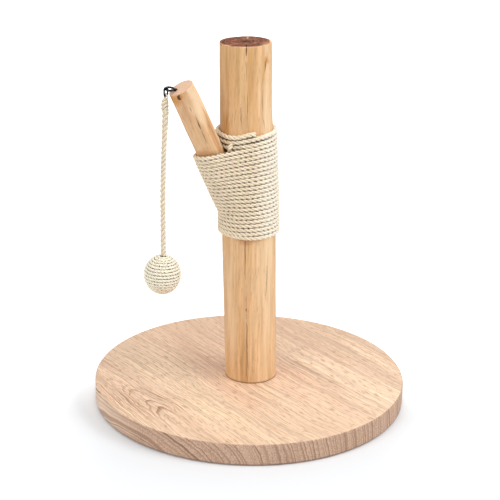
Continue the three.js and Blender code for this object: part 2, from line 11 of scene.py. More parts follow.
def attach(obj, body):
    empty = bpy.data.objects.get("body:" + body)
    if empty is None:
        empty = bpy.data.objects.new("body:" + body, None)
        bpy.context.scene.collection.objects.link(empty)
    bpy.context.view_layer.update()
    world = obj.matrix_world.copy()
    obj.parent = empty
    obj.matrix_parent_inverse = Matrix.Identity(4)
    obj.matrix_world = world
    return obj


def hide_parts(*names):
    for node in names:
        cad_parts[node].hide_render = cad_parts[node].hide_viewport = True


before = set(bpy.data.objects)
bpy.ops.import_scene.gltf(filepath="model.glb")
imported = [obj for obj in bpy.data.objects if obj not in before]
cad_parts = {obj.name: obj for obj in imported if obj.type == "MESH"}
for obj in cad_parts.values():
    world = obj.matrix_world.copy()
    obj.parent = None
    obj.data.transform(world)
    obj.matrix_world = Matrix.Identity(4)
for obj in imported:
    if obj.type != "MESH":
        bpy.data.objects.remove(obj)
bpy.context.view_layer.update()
scene = bpy.context.scene
MM = 0.001


def mm(x, y, z):
    """A point or a length written in millimetres, in metres."""
    return Vector((x, y, z)) * MM


# ---- Camera ----
camera = bpy.data.objects.new("camera", bpy.data.cameras.new("camera"))
scene.collection.objects.link(camera)
scene.camera = camera
camera.data.sensor_width = 36
camera.data.lens = 106.9
camera.data.clip_start, camera.data.clip_end = 0.05, 30
camera.matrix_world = (
    Matrix.Translation((0, -1.546, 0.7406))
    @ Matrix.Rotation(0.0012, 4, "Z")
    @ Matrix.Rotation(math.pi / 2 - 0.3505, 4, "X")
    @ Matrix.Rotation(0.0190, 4, "Z")
)


# ---- Helpers for modelling ----
def deselect():
    if bpy.context.mode != "OBJECT":
        bpy.ops.object.mode_set(mode="OBJECT")
    bpy.ops.object.select_all(action="DESELECT")


def pick(piece):
    """Makes one piece the only selected one, and the active one."""
    deselect()
    piece.select_set(True)
    bpy.context.view_layer.objects.active = piece


def named(name):
    """Names the piece that an operator has just added."""
    piece = bpy.context.active_object
    piece.name = piece.data.name = name
    return piece


def settle(piece):
    """Puts the piece's place, turn and size into its mesh."""
    pick(piece)
    bpy.ops.object.transform_apply(location=True, rotation=True, scale=True)
    return piece


def turn_to(direction):
    """The Euler turn that lays +Z along a direction."""
    return Vector(direction).to_track_quat("Z", "Y").to_euler()


def apply_modifier(piece, kind, **settings):
    pick(piece)
    modifier = piece.modifiers.new(kind.lower(), kind)
    for key, value in settings.items():
        setattr(modifier, key, value)
    bpy.ops.object.modifier_apply(modifier=modifier.name)


def smooth(piece, angle=40):
    pick(piece)
    bpy.ops.object.shade_smooth_by_angle(angle=math.radians(angle))


def bevel_edges(piece, width, segments, wanted):
    """Rounds the edges for which wanted(edge's middle, first end, second end) is true."""
    pick(piece)
    bpy.ops.object.mode_set(mode="EDIT")
    bpy.ops.mesh.select_mode(type="EDGE")
    bpy.ops.mesh.select_all(action="DESELECT")
    bpy.ops.object.mode_set(mode="OBJECT")
    points = piece.data.vertices
    for edge in piece.data.edges:
        a, b = (points[i].co for i in edge.vertices)
        edge.select = bool(wanted((a + b) / 2, a, b))
    bpy.ops.object.mode_set(mode="EDIT")
    bpy.ops.mesh.bevel(offset=width, segments=segments, profile=0.5, affect="EDGES")
    bpy.ops.object.mode_set(mode="OBJECT")


def join_pieces(name, first, *others):
    pick(first)
    for other in others:
        other.select_set(True)
    bpy.ops.object.join()
    return named(name)


def remove(piece):
    bpy.data.objects.remove(piece)


def finish_piece(piece, body, slot, look, *nodes, end_look=None, is_end=None):
    """Dresses a finished piece, lets it ride on its body and stand for its CAD nodes. Where it has a look of
    its own for sawn ends, is_end(face) says which faces have it."""
    piece.data.materials.clear()
    piece.data.materials.append(look)
    if end_look:
        piece.data.materials.append(end_look)
        for face in piece.data.polygons:
            face.material_index = int(is_end(face))
    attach(piece, body)
    if nodes:
        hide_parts(*nodes)
    return piece


# ---- Rope ----
def even_steps(points, step, *more):
    """A line of points in even steps, and what belongs to each point along with it."""
    points = np.asarray(points, float)
    gap_shading = np.linalg.norm(np.diff(points, axis=0), axis=1)
    places = np.concatenate([[0], np.cumsum(gap_shading)])
    wanted = np.linspace(0, places[-1], max(2, round(places[-1] / step)) + 1)

    def spread(values):
        values = np.asarray(values, float)
        return np.stack([np.interp(wanted, places, column) for column in values.T], axis=1)

    return [spread(points), *[spread(m) for m in more], wanted]


def unit(vectors):
    return vectors / np.linalg.norm(vectors, axis=1, keepdims=True)


# A laid rope's outline: round each strand's middle from crease to crease, and how far out it reaches.
STRAND_PLACES = np.array([-1, -0.62, -0.22, 0.22, 0.62, 1])


def laid_rope(name, points, outwards, radius, lay, strands=3, step=1.4 * MM, pressed=0.56, start=0.0, bare=0):
    """A rope of twisted strands along a line. radius is a number or one for each point; pressed is the
    strands' own radius as a share of the rope's, and lay is the length in which a strand goes round once.
    The lay and the thickness vary a little along it, as in a rope of natural fibre. bare says, for each point or for
    all of them, whether no other turn lies on the upper side (1), the lower one (-1) or both (2); there the painted
    shade between turns is mostly left off."""
    radii = np.full(len(points), radius) if np.isscalar(radius) else np.asarray(radius, float)
    bare = np.full(len(points), bare) if np.isscalar(bare) else np.asarray(bare, float)
    line, out, radii, bare, places = even_steps(points, step, outwards, radii[:, None], bare[:, None])
    tangent = unit(np.gradient(line, axis=0))
    out = unit(out - tangent * np.sum(out * tangent, axis=1, keepdims=True))
    side = np.cross(tangent, out)
    half = math.pi / strands
    inner = 1 - pressed
    turns = STRAND_PLACES[:-1] * half
    reach = inner * np.cos(turns) + np.sqrt(pressed**2 - (inner * np.sin(turns)) ** 2)
    around = np.concatenate([turns + half * (2 * k + 1) for k in range(strands)])
    reach = np.tile(reach, strands)
    sides = len(around)
    drift = np.array([noise.noise(Vector((p / lay / 2.3, start, 0.5))) for p in places])
    swell = np.array([noise.noise(Vector((p / lay / 0.8, start, 9.5))) for p in places])
    angle = around[None, :] + start + (2 * math.pi * places / lay + 0.9 * drift)[:, None]
    distance = radii * (1 + 0.05 * swell[:, None]) * reach[None, :]
    rings = (
        line[:, None, :]
        + out[:, None, :] * (distance * np.cos(angle))[:, :, None]
        + side[:, None, :] * (distance * np.sin(angle))[:, :, None]
    )
    count = len(line)
    vertices = np.concatenate([rings.reshape(-1, 3), line[:1], line[-1:]])
    a = (np.arange(count - 1)[:, None] * sides + np.arange(sides)[None, :]).reshape(-1)
    b = (np.arange(count - 1)[:, None] * sides + (np.arange(sides)[None, :] + 1) % sides).reshape(-1)
    faces = np.stack([a, b, b + sides, a + sides], axis=1).tolist()
    last = (count - 1) * sides
    faces += [[count * sides, (j + 1) % sides, j] for j in range(sides)]
    faces += [[count * sides + 1, last + j, last + (j + 1) % sides] for j in range(sides)]
    mesh = bpy.data.meshes.new(name)
    mesh.from_pydata(vertices.tolist(), [], faces)
    # Across a strand the map runs from 0 to 1, and along the rope it counts millimetres.
    across = (STRAND_PLACES + 1) / 2
    steps = len(STRAND_PLACES) - 1
    low = np.tile(across[:-1], strands)
    high = np.tile(across[1:], strands)
    along = places / MM
    quads = np.zeros((count - 1, sides, 4, 2))
    quads[:, :, 0, 0] = quads[:, :, 3, 0] = low[None, :]
    quads[:, :, 1, 0] = quads[:, :, 2, 0] = high[None, :]
    quads[:, :, 0, 1] = quads[:, :, 1, 1] = along[:-1, None]
    quads[:, :, 2, 1] = quads[:, :, 3, 1] = along[1:, None]
    caps = np.full((2 * sides * 3, 2), 0.5)
    uv = mesh.uv_layers.new(name="lay")
    uv.data.foreach_set("uv", np.concatenate([quads.reshape(-1, 2), caps]).ravel().astype(np.float32))
    # How deep a point lies in the winding, for the painted shade between turns: 0 on the outside, 1 on the side that
    # faces the wood.
    depth = mesh.attributes.new("depth", "FLOAT", "POINT")
    rise = (rings[:, :, 2] - line[:, None, 2]) / radii
    shade_depth = (0.5 - 0.5 * reach[None, :] * np.cos(angle)) * (1 - np.clip(np.where(bare > 1.5, 1, 3 * bare * rise), 0, 0.9))
    depth.data.foreach_set("value", np.concatenate([shade_depth.ravel(), [0.5, 0.5]]).astype(np.float32))
    piece = bpy.data.objects.new(name, mesh)
    scene.collection.objects.link(piece)
    for polygon in mesh.polygons:
        polygon.use_smooth = True
    return piece


# ---- Hanging rope: 162 mm of 5 mm sisal between its splice and the ball ----
ROPE_TOP = mm(-92.012, -46.776, 346.103)
ROPE_ROUTE = [
    (0, -0.5), (9, -0.8), (18, -1.1), (27, -1.5), (36, -1.9), (46, -2.3), (56, -2.65), (66, -2.9),
    (77, -3.15), (88, -3.3), (99, -3.4), (110, -3.4), (121, -3.3), (132, -3.2), (143, -3.15), (153, -3.1),
    (162, -3.1),
]
rope_line = [ROPE_TOP + mm(drift, 0, -down) for down, drift in ROPE_ROUTE]
# Its upper end is thicker, because the strands of its eye are tucked back into it.
rope_thickness = np.interp([down for down, drift in ROPE_ROUTE], [0, 9, 27, 56], [4.0, 3.8, 3.35, 3.2]) * MM
hanging_rope = laid_rope(
    "sisal_hanging_rope", rope_line, [(0, -1, 0)] * len(rope_line), rope_thickness, 16.5 * MM, step=0.9 * MM
)


# ---- Shader nodes ----
def put(tree, kind, inputs=None, **settings):
    """Adds a node with its settings. Its inputs take numbers, colours or other nodes' outputs."""
    node = tree.nodes.new(kind)
    for key, value in settings.items():
        setattr(node, key, value)
    for key, value in (inputs or {}).items():
        if isinstance(value, bpy.types.NodeSocket):
            tree.links.new(value, node.inputs[key])
        else:
            node.inputs[key].default_value = value
    return node


def maths(tree, operation, a, b=0.0, clamp=False):
    return put(tree, "ShaderNodeMath", {0: a, 1: b}, operation=operation, use_clamp=clamp).outputs[0]


def ramp(tree, value, stops, smooth_ramp=False):
    """Colours over a value, as (place, colour) pairs."""
    node = put(tree, "ShaderNodeValToRGB", {0: value})
    if smooth_ramp:
        node.color_ramp.interpolation = "EASE"
    elements = node.color_ramp.elements
    while len(elements) < len(stops):
        elements.new(0.5)
    for element, (place, colour) in zip(elements, stops):
        element.position = place
        element.color = (*colour, 1) if len(colour) == 3 else colour
    return node.outputs[0]


def steps_between(tree, value, low, high, low_out=0.0, high_out=1.0):
    """A smooth step of a value between two levels."""
    return put(
        tree, "ShaderNodeMapRange", {0: value, 1: low, 2: high, 3: low_out, 4: high_out},
        interpolation_type="SMOOTHSTEP",
    ).outputs[0]


def blend_colours(tree, share, a, b, how="MIX"):
    node = put(tree, "ShaderNodeMix", data_type="RGBA", blend_type=how, clamp_factor=True)
    for key, value in ((0, share), (6, a), (7, b)):
        if isinstance(value, bpy.types.NodeSocket):
            tree.links.new(value, node.inputs[key])
        else:
            node.inputs[key].default_value = (*value, 1) if key else value
    return node.outputs[2]


def shader_group(name, inputs, outputs):
    """A node group with named inputs (name, kind, default) and outputs (name, kind)."""
    group = bpy.data.node_groups.new(name, "ShaderNodeTree")
    for label, kind, default in inputs:
        socket = group.interface.new_socket(label, in_out="INPUT", socket_type=kind)
        socket.default_value = default
    for label, kind in outputs:
        group.interface.new_socket(label, in_out="OUTPUT", socket_type=kind)
    return group, group.nodes.new("NodeGroupInput").outputs, group.nodes.new("NodeGroupOutput").inputs


FLOAT, VECTOR = "NodeSocketFloat", "NodeSocketVector"

# Fibres: noise drawn out along one axis, as strength from 0 to 1.
fibres, given, made = shader_group(
    "fibres", [("Place", VECTOR, (0, 0, 0)), ("Fineness", VECTOR, (100, 100, 5)), ("Detail", FLOAT, 3.0)],
    [("Strength", FLOAT)],
)
stretched = put(fibres, "ShaderNodeVectorMath", {0: given["Place"], 1: given["Fineness"]}, operation="MULTIPLY")
grain = put(fibres, "ShaderNodeTexNoise", {"Vector": stretched.outputs[0], "Scale": 1.0, "Detail": given["Detail"]})
fibres.links.new(grain.outputs[0], made["Strength"])

# A soft-edged spot round a place, such as a knot or a stain, frayed by noise.
spot, given, made = shader_group(
    "spot",
    [
        ("Place", VECTOR, (0, 0, 0)), ("Middle", VECTOR, (0, 0, 0)), ("Size", VECTOR, (0.01, 0.01, 0.01)),
        ("Fray", FLOAT, 0.3), ("Edge", FLOAT, 0.6),
    ],
    [("Mask", FLOAT), ("Distance", FLOAT)],
)
away = put(spot, "ShaderNodeVectorMath", {0: given["Place"], 1: given["Middle"]}, operation="SUBTRACT")
scaled = put(spot, "ShaderNodeVectorMath", {0: away.outputs[0], 1: given["Size"]}, operation="DIVIDE")
distance = put(spot, "ShaderNodeVectorMath", {0: scaled.outputs[0]}, operation="LENGTH").outputs["Value"]
ragged = put(spot, "ShaderNodeTexNoise", {"Vector": scaled.outputs[0], "Scale": 1.6, "Detail": 3.0}).outputs[0]
frayed = maths(spot, "MULTIPLY", maths(spot, "SUBTRACT", ragged, 0.5), given["Fray"])
distance = maths(spot, "ADD", distance, maths(spot, "MULTIPLY", frayed, 3.0))
inner = maths(spot, "SUBTRACT", 1.0, given["Edge"])
fade = put(
    spot, "ShaderNodeMapRange", {0: distance, 1: inner, 2: 1.0, 3: 1.0, 4: 0.0}, interpolation_type="SMOOTHSTEP"
)
spot.links.new(fade.outputs[0], made["Mask"])
spot.links.new(distance, made["Distance"])

# A fine crack between two places: widest halfway, wandering a little, and drawn on the side that faces -Y or +Y.
seam, given, made = shader_group(
    "seam",
    [
        ("Place", VECTOR, (0, 0, 0)), ("Start", VECTOR, (0, 0, 0)), ("End", VECTOR, (0, 0, 0.05)),
        ("Width", FLOAT, 0.001), ("Wander", FLOAT, 0.002),
    ],
    [("Mask", FLOAT)],
)
from_start = put(seam, "ShaderNodeVectorMath", {0: given["Place"], 1: given["Start"]}, operation="SUBTRACT").outputs[0]
whole_way = put(seam, "ShaderNodeVectorMath", {0: given["End"], 1: given["Start"]}, operation="SUBTRACT").outputs[0]
along = put(seam, "ShaderNodeVectorMath", {0: from_start, 1: whole_way}, operation="DOT_PRODUCT").outputs["Value"]
squared = put(seam, "ShaderNodeVectorMath", {0: whole_way, 1: whole_way}, operation="DOT_PRODUCT").outputs["Value"]
share = maths(seam, "DIVIDE", along, squared, clamp=True)
reached = put(seam, "ShaderNodeVectorMath", {0: whole_way}, operation="SCALE")
seam.links.new(share, reached.inputs["Scale"])
beside = put(seam, "ShaderNodeVectorMath", {0: from_start, 1: reached.outputs[0]}, operation="SUBTRACT").outputs[0]
wander = put(seam, "ShaderNodeTexNoise", {"Vector": given["Place"], "Scale": 110.0, "Detail": 4.0}).outputs["Color"]
wander = put(seam, "ShaderNodeVectorMath", {0: wander, 1: (0.5, 0.5, 0.5)}, operation="SUBTRACT").outputs[0]
wander_scaled = put(seam, "ShaderNodeVectorMath", {0: wander}, operation="SCALE")
seam.links.new(given["Wander"], wander_scaled.inputs["Scale"])
beside = put(seam, "ShaderNodeVectorMath", {0: beside, 1: wander_scaled.outputs[0]}, operation="ADD").outputs[0]
beside = put(seam, "ShaderNodeVectorMath", {0: beside, 1: (1, 0.1, 1)}, operation="MULTIPLY").outputs[0]
off = put(seam, "ShaderNodeVectorMath", {0: beside}, operation="LENGTH").outputs["Value"]
from_end = maths(seam, "SUBTRACT", 1.0, maths(seam, "ABSOLUTE", maths(seam, "SUBTRACT", maths(seam, "MULTIPLY", share, 2.0), 1.0)))
width = maths(seam, "MULTIPLY", given["Width"], maths(seam, "ADD", maths(seam, "MULTIPLY", from_end, 0.7), 0.3))
fill = steps_between(seam, maths(seam, "DIVIDE", off, width), 0.35, 1.0, 1.0, 0.0)
seam.links.new(fill, made["Mask"])

# Growth rings of a trunk whose pith lies on the local Z axis: a pale band with a darker line at its end.
rings, given, made = shader_group(
    "growth_rings",
    [
        ("Place", VECTOR, (0, 0, 0)), ("Spacing", FLOAT, 0.003), ("Wobble", FLOAT, 0.002),
        ("Wobble Size", VECTOR, (20, 20, 2)), ("Sharpness", FLOAT, 3.0),
    ],
    [("Line", FLOAT), ("Radius", FLOAT), ("Band", FLOAT)],
)
flat = put(rings, "ShaderNodeVectorMath", {0: given["Place"], 1: (1, 1, 0)}, operation="MULTIPLY")
radius = put(rings, "ShaderNodeVectorMath", {0: flat.outputs[0]}, operation="LENGTH").outputs["Value"]
waves = put(rings, "ShaderNodeVectorMath", {0: given["Place"], 1: given["Wobble Size"]}, operation="MULTIPLY")
wave = put(rings, "ShaderNodeTexNoise", {"Vector": waves.outputs[0], "Scale": 1.0, "Detail": 2.0}).outputs[0]
wave = maths(rings, "MULTIPLY", maths(rings, "SUBTRACT", wave, 0.5), given["Wobble"])
radius = maths(rings, "ADD", radius, wave)
years = maths(rings, "DIVIDE", radius, given["Spacing"])
uneven = put(rings, "ShaderNodeTexNoise", {"W": years, "Scale": 0.45, "Detail": 2.0}, noise_dimensions="1D").outputs[0]
years = maths(rings, "ADD", years, maths(rings, "MULTIPLY", uneven, 2.2))
share = maths(rings, "FRACT", years)
rings.links.new(maths(rings, "POWER", share, given["Sharpness"]), made["Line"])
rings.links.new(radius, made["Radius"])
rings.links.new(uneven, made["Band"])

# Yarns of a sisal strand: fibres that run slantwise over the strand, and where the crease between two strands lies, for
# the painted shade there.
yarn, given, made = shader_group(
    "sisal_yarn", [("Lay", VECTOR, (0, 0, 0)), ("Fineness", FLOAT, 1.0)],
    [("Fibre", FLOAT), ("Crease", FLOAT), ("Patch", FLOAT), ("Dots", FLOAT)],
)
parts = put(yarn, "ShaderNodeSeparateXYZ", {0: given["Lay"]})
slant = maths(yarn, "ADD", maths(yarn, "MULTIPLY", parts.outputs[0], 7.0), maths(yarn, "MULTIPLY", parts.outputs[1], 1.1))
fine = maths(yarn, "MULTIPLY", slant, given["Fineness"])
drawn = maths(yarn, "MULTIPLY", parts.outputs[1], 0.12)
hairs = put(yarn, "ShaderNodeCombineXYZ", {0: fine, 1: drawn, 2: 0.0})
fibre = put(yarn, "ShaderNodeTexNoise", {"Vector": hairs.outputs[0], "Scale": 1.3, "Detail": 4.0, "Roughness": 0.62})
middle = maths(yarn, "ABSOLUTE", maths(yarn, "SUBTRACT", parts.outputs[0], 0.5))
crease = steps_between(yarn, middle, 0.34, 0.5)
patchy = put(yarn, "ShaderNodeTexNoise", {"W": parts.outputs[1], "Scale": 0.09, "Detail": 3.0}, noise_dimensions="1D")
yarn.links.new(fibre.outputs[0], made["Fibre"])
yarn.links.new(crease, made["Crease"])
dots = put(yarn, "ShaderNodeTexNoise", {"W": parts.outputs[1], "Scale": 0.42, "Detail": 2.0}, noise_dimensions="1D")
yarn.links.new(patchy.outputs[0], made["Patch"])
yarn.links.new(dots.outputs[0], made["Dots"])


def new_look(name):
    look = bpy.data.materials.new(name)
    look.use_nodes = True
    tree = look.node_tree
    return look, tree, tree.nodes["Principled BSDF"]


def use(tree, group, **inputs):
    """One of the groups above, placed in a material."""
    node = put(tree, "ShaderNodeGroup", node_tree=group)
    for key, value in inputs.items():
        socket = node.inputs[key.replace("_", " ")]
        if isinstance(value, bpy.types.NodeSocket):
            tree.links.new(value, socket)
        else:
            socket.default_value = value
    return node.outputs


def object_place(tree, middle=(0, 0, 0), turn=(0, 0, 0)):
    """Object coordinates, counted from a place and turned, in metres."""
    place = put(tree, "ShaderNodeTexCoord").outputs["Object"]
    return put(
        tree, "ShaderNodeMapping", {"Vector": place, "Location": middle, "Rotation": turn}, vector_type="TEXTURE"
    ).outputs[0]


def bump(tree, shader, height, distance, strength=1.0, under=None):
    inputs = {"Height": height, "Distance": distance, "Strength": strength}
    if under is not None:
        inputs["Normal"] = under
    made_bump = put(tree, "ShaderNodeBump", inputs)
    tree.links.new(made_bump.outputs[0], shader.inputs["Normal"])
    return made_bump.outputs[0]


# ---- Finishes, some with painted shade and painted light ----
def wood_side(tree, place, tones, fineness, dashes=0.5):
    """Peeled wood's long streaks and short dashes: the colour and the height of its fibres."""
    band, streak, dash = fineness
    broad = use(tree, fibres, Place=place, Fineness=(band, band, band * 0.06), Detail=3.0)[0]
    fine = use(tree, fibres, Place=place, Fineness=(streak, streak, streak * 0.04), Detail=4.0)[0]
    thin = use(tree, fibres, Place=place, Fineness=(dash, dash, dash * 0.11), Detail=3.0)[0]
    colour = ramp(tree, broad, tones)
    streaks = steps_between(tree, fine, 0.32, 0.68, 0.87, 1.08)
    grey = put(tree, "ShaderNodeCombineColor", {0: streaks, 1: streaks, 2: streaks}).outputs[0]
    colour = blend_colours(tree, 1.0, colour, grey, "MULTIPLY")
    share = maths(tree, "MULTIPLY", steps_between(tree, thin, 0.54, 0.68), dashes)
    colour = blend_colours(tree, share, colour, (0.40, 0.21, 0.08))
    height = maths(tree, "SUBTRACT", fine, maths(tree, "MULTIPLY", share, 0.8))
    return colour, height


ORANGE = (0.62, 0.27, 0.06)
DARK = (0.10, 0.045, 0.02)

# The log's side.
log_look, tree, shader = new_look("peeled_log")
place = object_place(tree)
LOG_TONES = [
    (0.30, (0.60, 0.33, 0.13)), (0.43, (0.70, 0.42, 0.20)), (0.55, (0.76, 0.475, 0.245)), (0.72, (0.82, 0.545, 0.31)),
]
colour, height = wood_side(tree, place, LOG_TONES, (95, 430, 820), 0.42)
BROWN = (0.50, 0.24, 0.08)
PALE = (0.93, 0.69, 0.44)
LOG_STAINS_AND_SHADE = [
    ((-11, -22, 372), (34, 24, 62), 0.2, (0.60, 0.32, 0.10)),
    # Painted shade: the dark hollow under the third upper turn, above the big turns.
    ((-31, -17, 295), (9, 9, 5.5), 0.85, (0.17, 0.075, 0.03)),
    ((17, -19, 220), (12, 22, 330), 0.62, PALE),
    ((12.5, -17, 393), (4.0, 9, 9), 0.9, ORANGE),
    ((10.5, -18, 388), (1.4, 9, 9), 0.9, (0.42, 0.18, 0.05)),
    ((9.0, -20, 378), (2.2, 6, 20), 0.65, (0.66, 0.36, 0.10)),
    ((8.2, -21, 348), (1.1, 6, 34), 0.6, (0.52, 0.29, 0.10)),
    ((5.2, -22, 356), (2.0, 6, 30), 0.5, PALE),
    ((-30, -16, 322), (4.5, 9, 17), 0.85, (0.62, 0.31, 0.08)),
    ((-35, -8, 370), (5, 10, 80), 0.6, (0.52, 0.27, 0.09)),
    ((-29, -14, 385), (2.5, 9, 40), 0.5, (0.52, 0.27, 0.09)),
    ((-31, -12, 300), (6, 9, 40), 0.5, ORANGE),
    ((-7.0, -26.4, 188), (1.6, 5, 34), 0.7, BROWN),
    ((-9, -26.4, 197), (24, 14, 8), 0.6, (0.42, 0.17, 0.06)),
    ((-22, -17, 40), (8, 12, 40), 0.3, ORANGE),
    ((-22, -16, 110), (13, 16, 110), 0.5, (0.92, 0.66, 0.42)),
    ((-4.6, -26.4, 122), (1.5, 4, 16), 0.55, (0.52, 0.19, 0.07)),
    ((-4.6, -26.3, 114.5), (1.6, 4, 2.6), 0.95, (0.36, 0.11, 0.03)),
    ((13, -22, 70), (2.4, 6, 70), 0.4, (0.58, 0.30, 0.11)),
    ((18, -18, 150), (1.3, 6, 50), 0.5, (0.52, 0.29, 0.10)),
    ((6, -25, 290), (10, 9, 120), 0.25, ORANGE),
    ((-36.4, -9.7, 408), (2.4, 4, 2.5), 0.9, (0.25, 0.12, 0.06)),
]
for middle, size, amount, stain in LOG_STAINS_AND_SHADE:
    mask = use(tree, spot, Place=place, Middle=mm(*middle), Size=mm(*size), Fray=0.45, Edge=0.85)["Mask"]
    colour = blend_colours(tree, maths(tree, "MULTIPLY", mask, amount), colour, stain)


def draw_cracks(tree, place, cracks, colour, height):
    """Draws fine cracks, as (start, end, width, wander, strength), into a colour and a height."""
    for start, end, width, wander, strength in cracks:
        ends = {"Start": mm(*start), "End": mm(*end)}
        mask = use(tree, seam, Place=place, Width=width * MM, Wander=wander * MM, **ends)["Mask"]
        mask = maths(tree, "MULTIPLY", mask, strength)
        colour = blend_colours(tree, mask, colour, (0.17, 0.075, 0.03))
        height = maths(tree, "SUBTRACT", height, maths(tree, "MULTIPLY", mask, 2.0))
    return colour, height


LOG_CRACKS = [
    ((-4.2, -26.4, 116), (-2.2, -26.4, 24), 0.9, 2.0, 0.85),
    ((-9.4, -26.4, 412), (-9.6, -26.4, 399.5), 1.25, 0.8, 1.0),
    ((-9.2, -26.4, 394), (-8.6, -26.4, 372), 0.7, 1.5, 0.45),
    ((-7.6, -26.5, 362), (-7.4, -26.5, 322), 0.7, 1.6, 0.55),
    ((-14.5, -25, 348), (-13.6, -25, 318), 0.9, 1.8, 0.6),
    ((12.2, -17, 399), (9.2, -20, 376), 0.9, 1.6, 0.6),
    ((9.0, -20, 380), (7.4, -21, 366), 0.7, 1.2, 0.4),
    ((7.4, -21, 362), (8.6, -20.5, 338), 0.7, 1.8, 0.42),
    ((8.6, -20.5, 336), (12.2, -18.8, 316), 0.7, 1.6, 0.4),
    ((-28.5, -16, 338), (-29.5, -16, 318), 1.0, 1.2, 0.45),
    ((17.4, -20, 165), (16.2, -20, 120), 0.8, 1.6, 0.5),
    ((-13.5, -24, 170), (-13, -24, 140), 0.7, 1.6, 0.5),
    ((4.0, -26, 85), (3.6, -26, 30), 0.7, 1.8, 0.45),
    ((-7.2, -26.4, 200), (-6.6, -26.4, 150), 0.9, 1.6, 0.55),
]
colour, height = draw_cracks(tree, place, LOG_CRACKS, colour, height)
# Painted shade: a thin dark line where the log stands on the board.
up = put(tree, "ShaderNodeSeparateXYZ", {0: place}).outputs[2]
foot_shade = maths(tree, "MULTIPLY", steps_between(tree, up, 0.0255, 0.0275, 1.0, 0.0), 0.8)
colour = blend_colours(tree, foot_shade, colour, (0.20, 0.09, 0.04))
tree.links.new(colour, shader.inputs["Base Color"])
tree.links.new(steps_between(tree, height, 0.4, 1.1, 0.66, 0.5), shader.inputs["Roughness"])
bump(tree, shader, height, 0.35 * MM, 0.6)

# Its sawn top: dark heartwood with a thin pale edge.
log_end_look, tree, shader = new_look("log_end_grain")
place = object_place(tree, middle=(-0.0112, 0.0024, 0.4))
ring = use(tree, rings, Place=place, Spacing=0.0042, Wobble=0.005, Wobble_Size=(70, 70, 10), Sharpness=1.6)
heart = ramp(tree, maths(tree, "DIVIDE", ring["Radius"], 0.03), [
    (0.0, (0.03, 0.010, 0.006)), (0.14, (0.10, 0.032, 0.016)), (0.45, (0.19, 0.065, 0.032)),
    (0.74, (0.12, 0.036, 0.020)), (0.86, (0.20, 0.075, 0.042)), (0.91, (0.64, 0.38, 0.23)),
])
rays = put(tree, "ShaderNodeTexNoise", {"Vector": place, "Scale": 170.0, "Detail": 5.0, "Roughness": 0.75}).outputs[0]
mottle = steps_between(tree, rays, 0.34, 0.66, 0.35, 2.1)
mottled = put(tree, "ShaderNodeCombineColor", {0: mottle, 1: mottle, 2: mottle}).outputs[0]
colour = blend_colours(tree, 1.0, heart, mottled, "MULTIPLY")
pale_ring = maths(tree, "MULTIPLY", steps_between(tree, ring["Line"], 0.55, 0.95), 0.5)
colour = blend_colours(tree, pale_ring, colour, (0.46, 0.22, 0.12))
END_MARKS = [
    ((-9.6, -18, 409), (1.3, 12, 9), 0.95, (0.03, 0.01, 0.006)), ((-8.6, 22, 409), (1.6, 9, 9), 0.8, (0.66, 0.42, 0.25)),
    ((-11.0, 2.0, 409), (5, 4, 9), 0.9, (0.03, 0.01, 0.006)), ((-22, 2.5, 409), (11, 1.1, 9), 0.7, (0.04, 0.015, 0.01)),
    ((11, -7, 409), (7, 12, 9), 0.5, (0.52, 0.27, 0.16)), ((-2, 14, 409), (9, 3, 9), 0.5, (0.44, 0.20, 0.11)),
    ((-24, -12, 409), (8, 4, 9), 0.5, (0.36, 0.15, 0.10)), ((2, -3, 409), (8, 1.4, 9), 0.5, (0.42, 0.19, 0.10)),
]
whole = object_place(tree)
for middle, size, amount, mark in END_MARKS:
    mask = use(tree, spot, Place=whole, Middle=mm(*middle), Size=mm(*size), Fray=0.4, Edge=0.7)["Mask"]
    colour = blend_colours(tree, maths(tree, "MULTIPLY", mask, amount), colour, mark)
tree.links.new(colour, shader.inputs["Base Color"])
shader.inputs["Roughness"].default_value = 0.7
shader.inputs["Specular IOR Level"].default_value = 0.12
bump(tree, shader, maths(tree, "ADD", rays, ring["Line"]), 0.3 * MM, 0.7)

# The branch, with the line of its pith along its own axis.
branch_look, tree, shader = new_look("peeled_branch")
BRANCH_FOOT = Vector((-3.85, 1.8, 190.7))
BRANCH_AXIS = Vector((-0.3674, -0.2243, 0.9026)).normalized()
BRANCH_TURN = BRANCH_AXIS.to_track_quat("Z", "Y")
place = object_place(tree, middle=BRANCH_FOOT * MM, turn=BRANCH_TURN.to_euler())
BRANCH_TONES = [
    (0.30, (0.53, 0.27, 0.11)), (0.43, (0.66, 0.39, 0.19)), (0.55, (0.74, 0.465, 0.25)), (0.72, (0.81, 0.55, 0.33)),
]
colour, height = wood_side(tree, place, BRANCH_TONES, (110, 460, 850), 0.45)
BRANCH_STAINS = [
    ((-60, -47, 356), (12, 14, 34), 0.6, (0.95, 0.74, 0.50)),
    ((-84, -50, 356.5), (12, 10, 11), 0.9, (0.58, 0.26, 0.06)),
    ((-77.5, -55, 361.5), (6.5, 6, 7), 0.85, (0.60, 0.30, 0.09)),
    ((-70, -50, 340), (8, 9, 26), 0.35, (0.58, 0.31, 0.17)),
    ((-51, -41, 296), (16, 14, 8), 0.7, (0.50, 0.22, 0.07)),
]
BRANCH_CRACKS = [
    ((-79.2, -55.5, 361.8), (-76.0, -55.5, 362.4), 3.6, 1.0, 1.0),
    ((-78.4, -55.5, 361.8), (-77.2, -55.5, 359.2), 3.0, 0.8, 1.0),
    ((-61.5, -49, 341.0), (-55.5, -46, 326), 0.75, 1.2, 0.8),
    ((-58.8, -47.5, 333.5), (-55.6, -45.8, 325.5), 1.15, 0.8, 0.9),
    ((-56.0, -46, 327), (-48.6, -42, 308), 0.75, 1.4, 0.8),
    ((-68.0, -51, 352), (-64.5, -50, 344), 0.8, 1.2, 0.5),
    ((-66.0, -50, 326), (-60.0, -48, 308), 0.8, 1.4, 0.5),
    ((-73.0, -53, 346), (-69.0, -52, 334), 0.7, 1.4, 0.4),
    ((-50.0, -42, 334), (-45.0, -40, 320), 0.7, 1.4, 0.4),
]
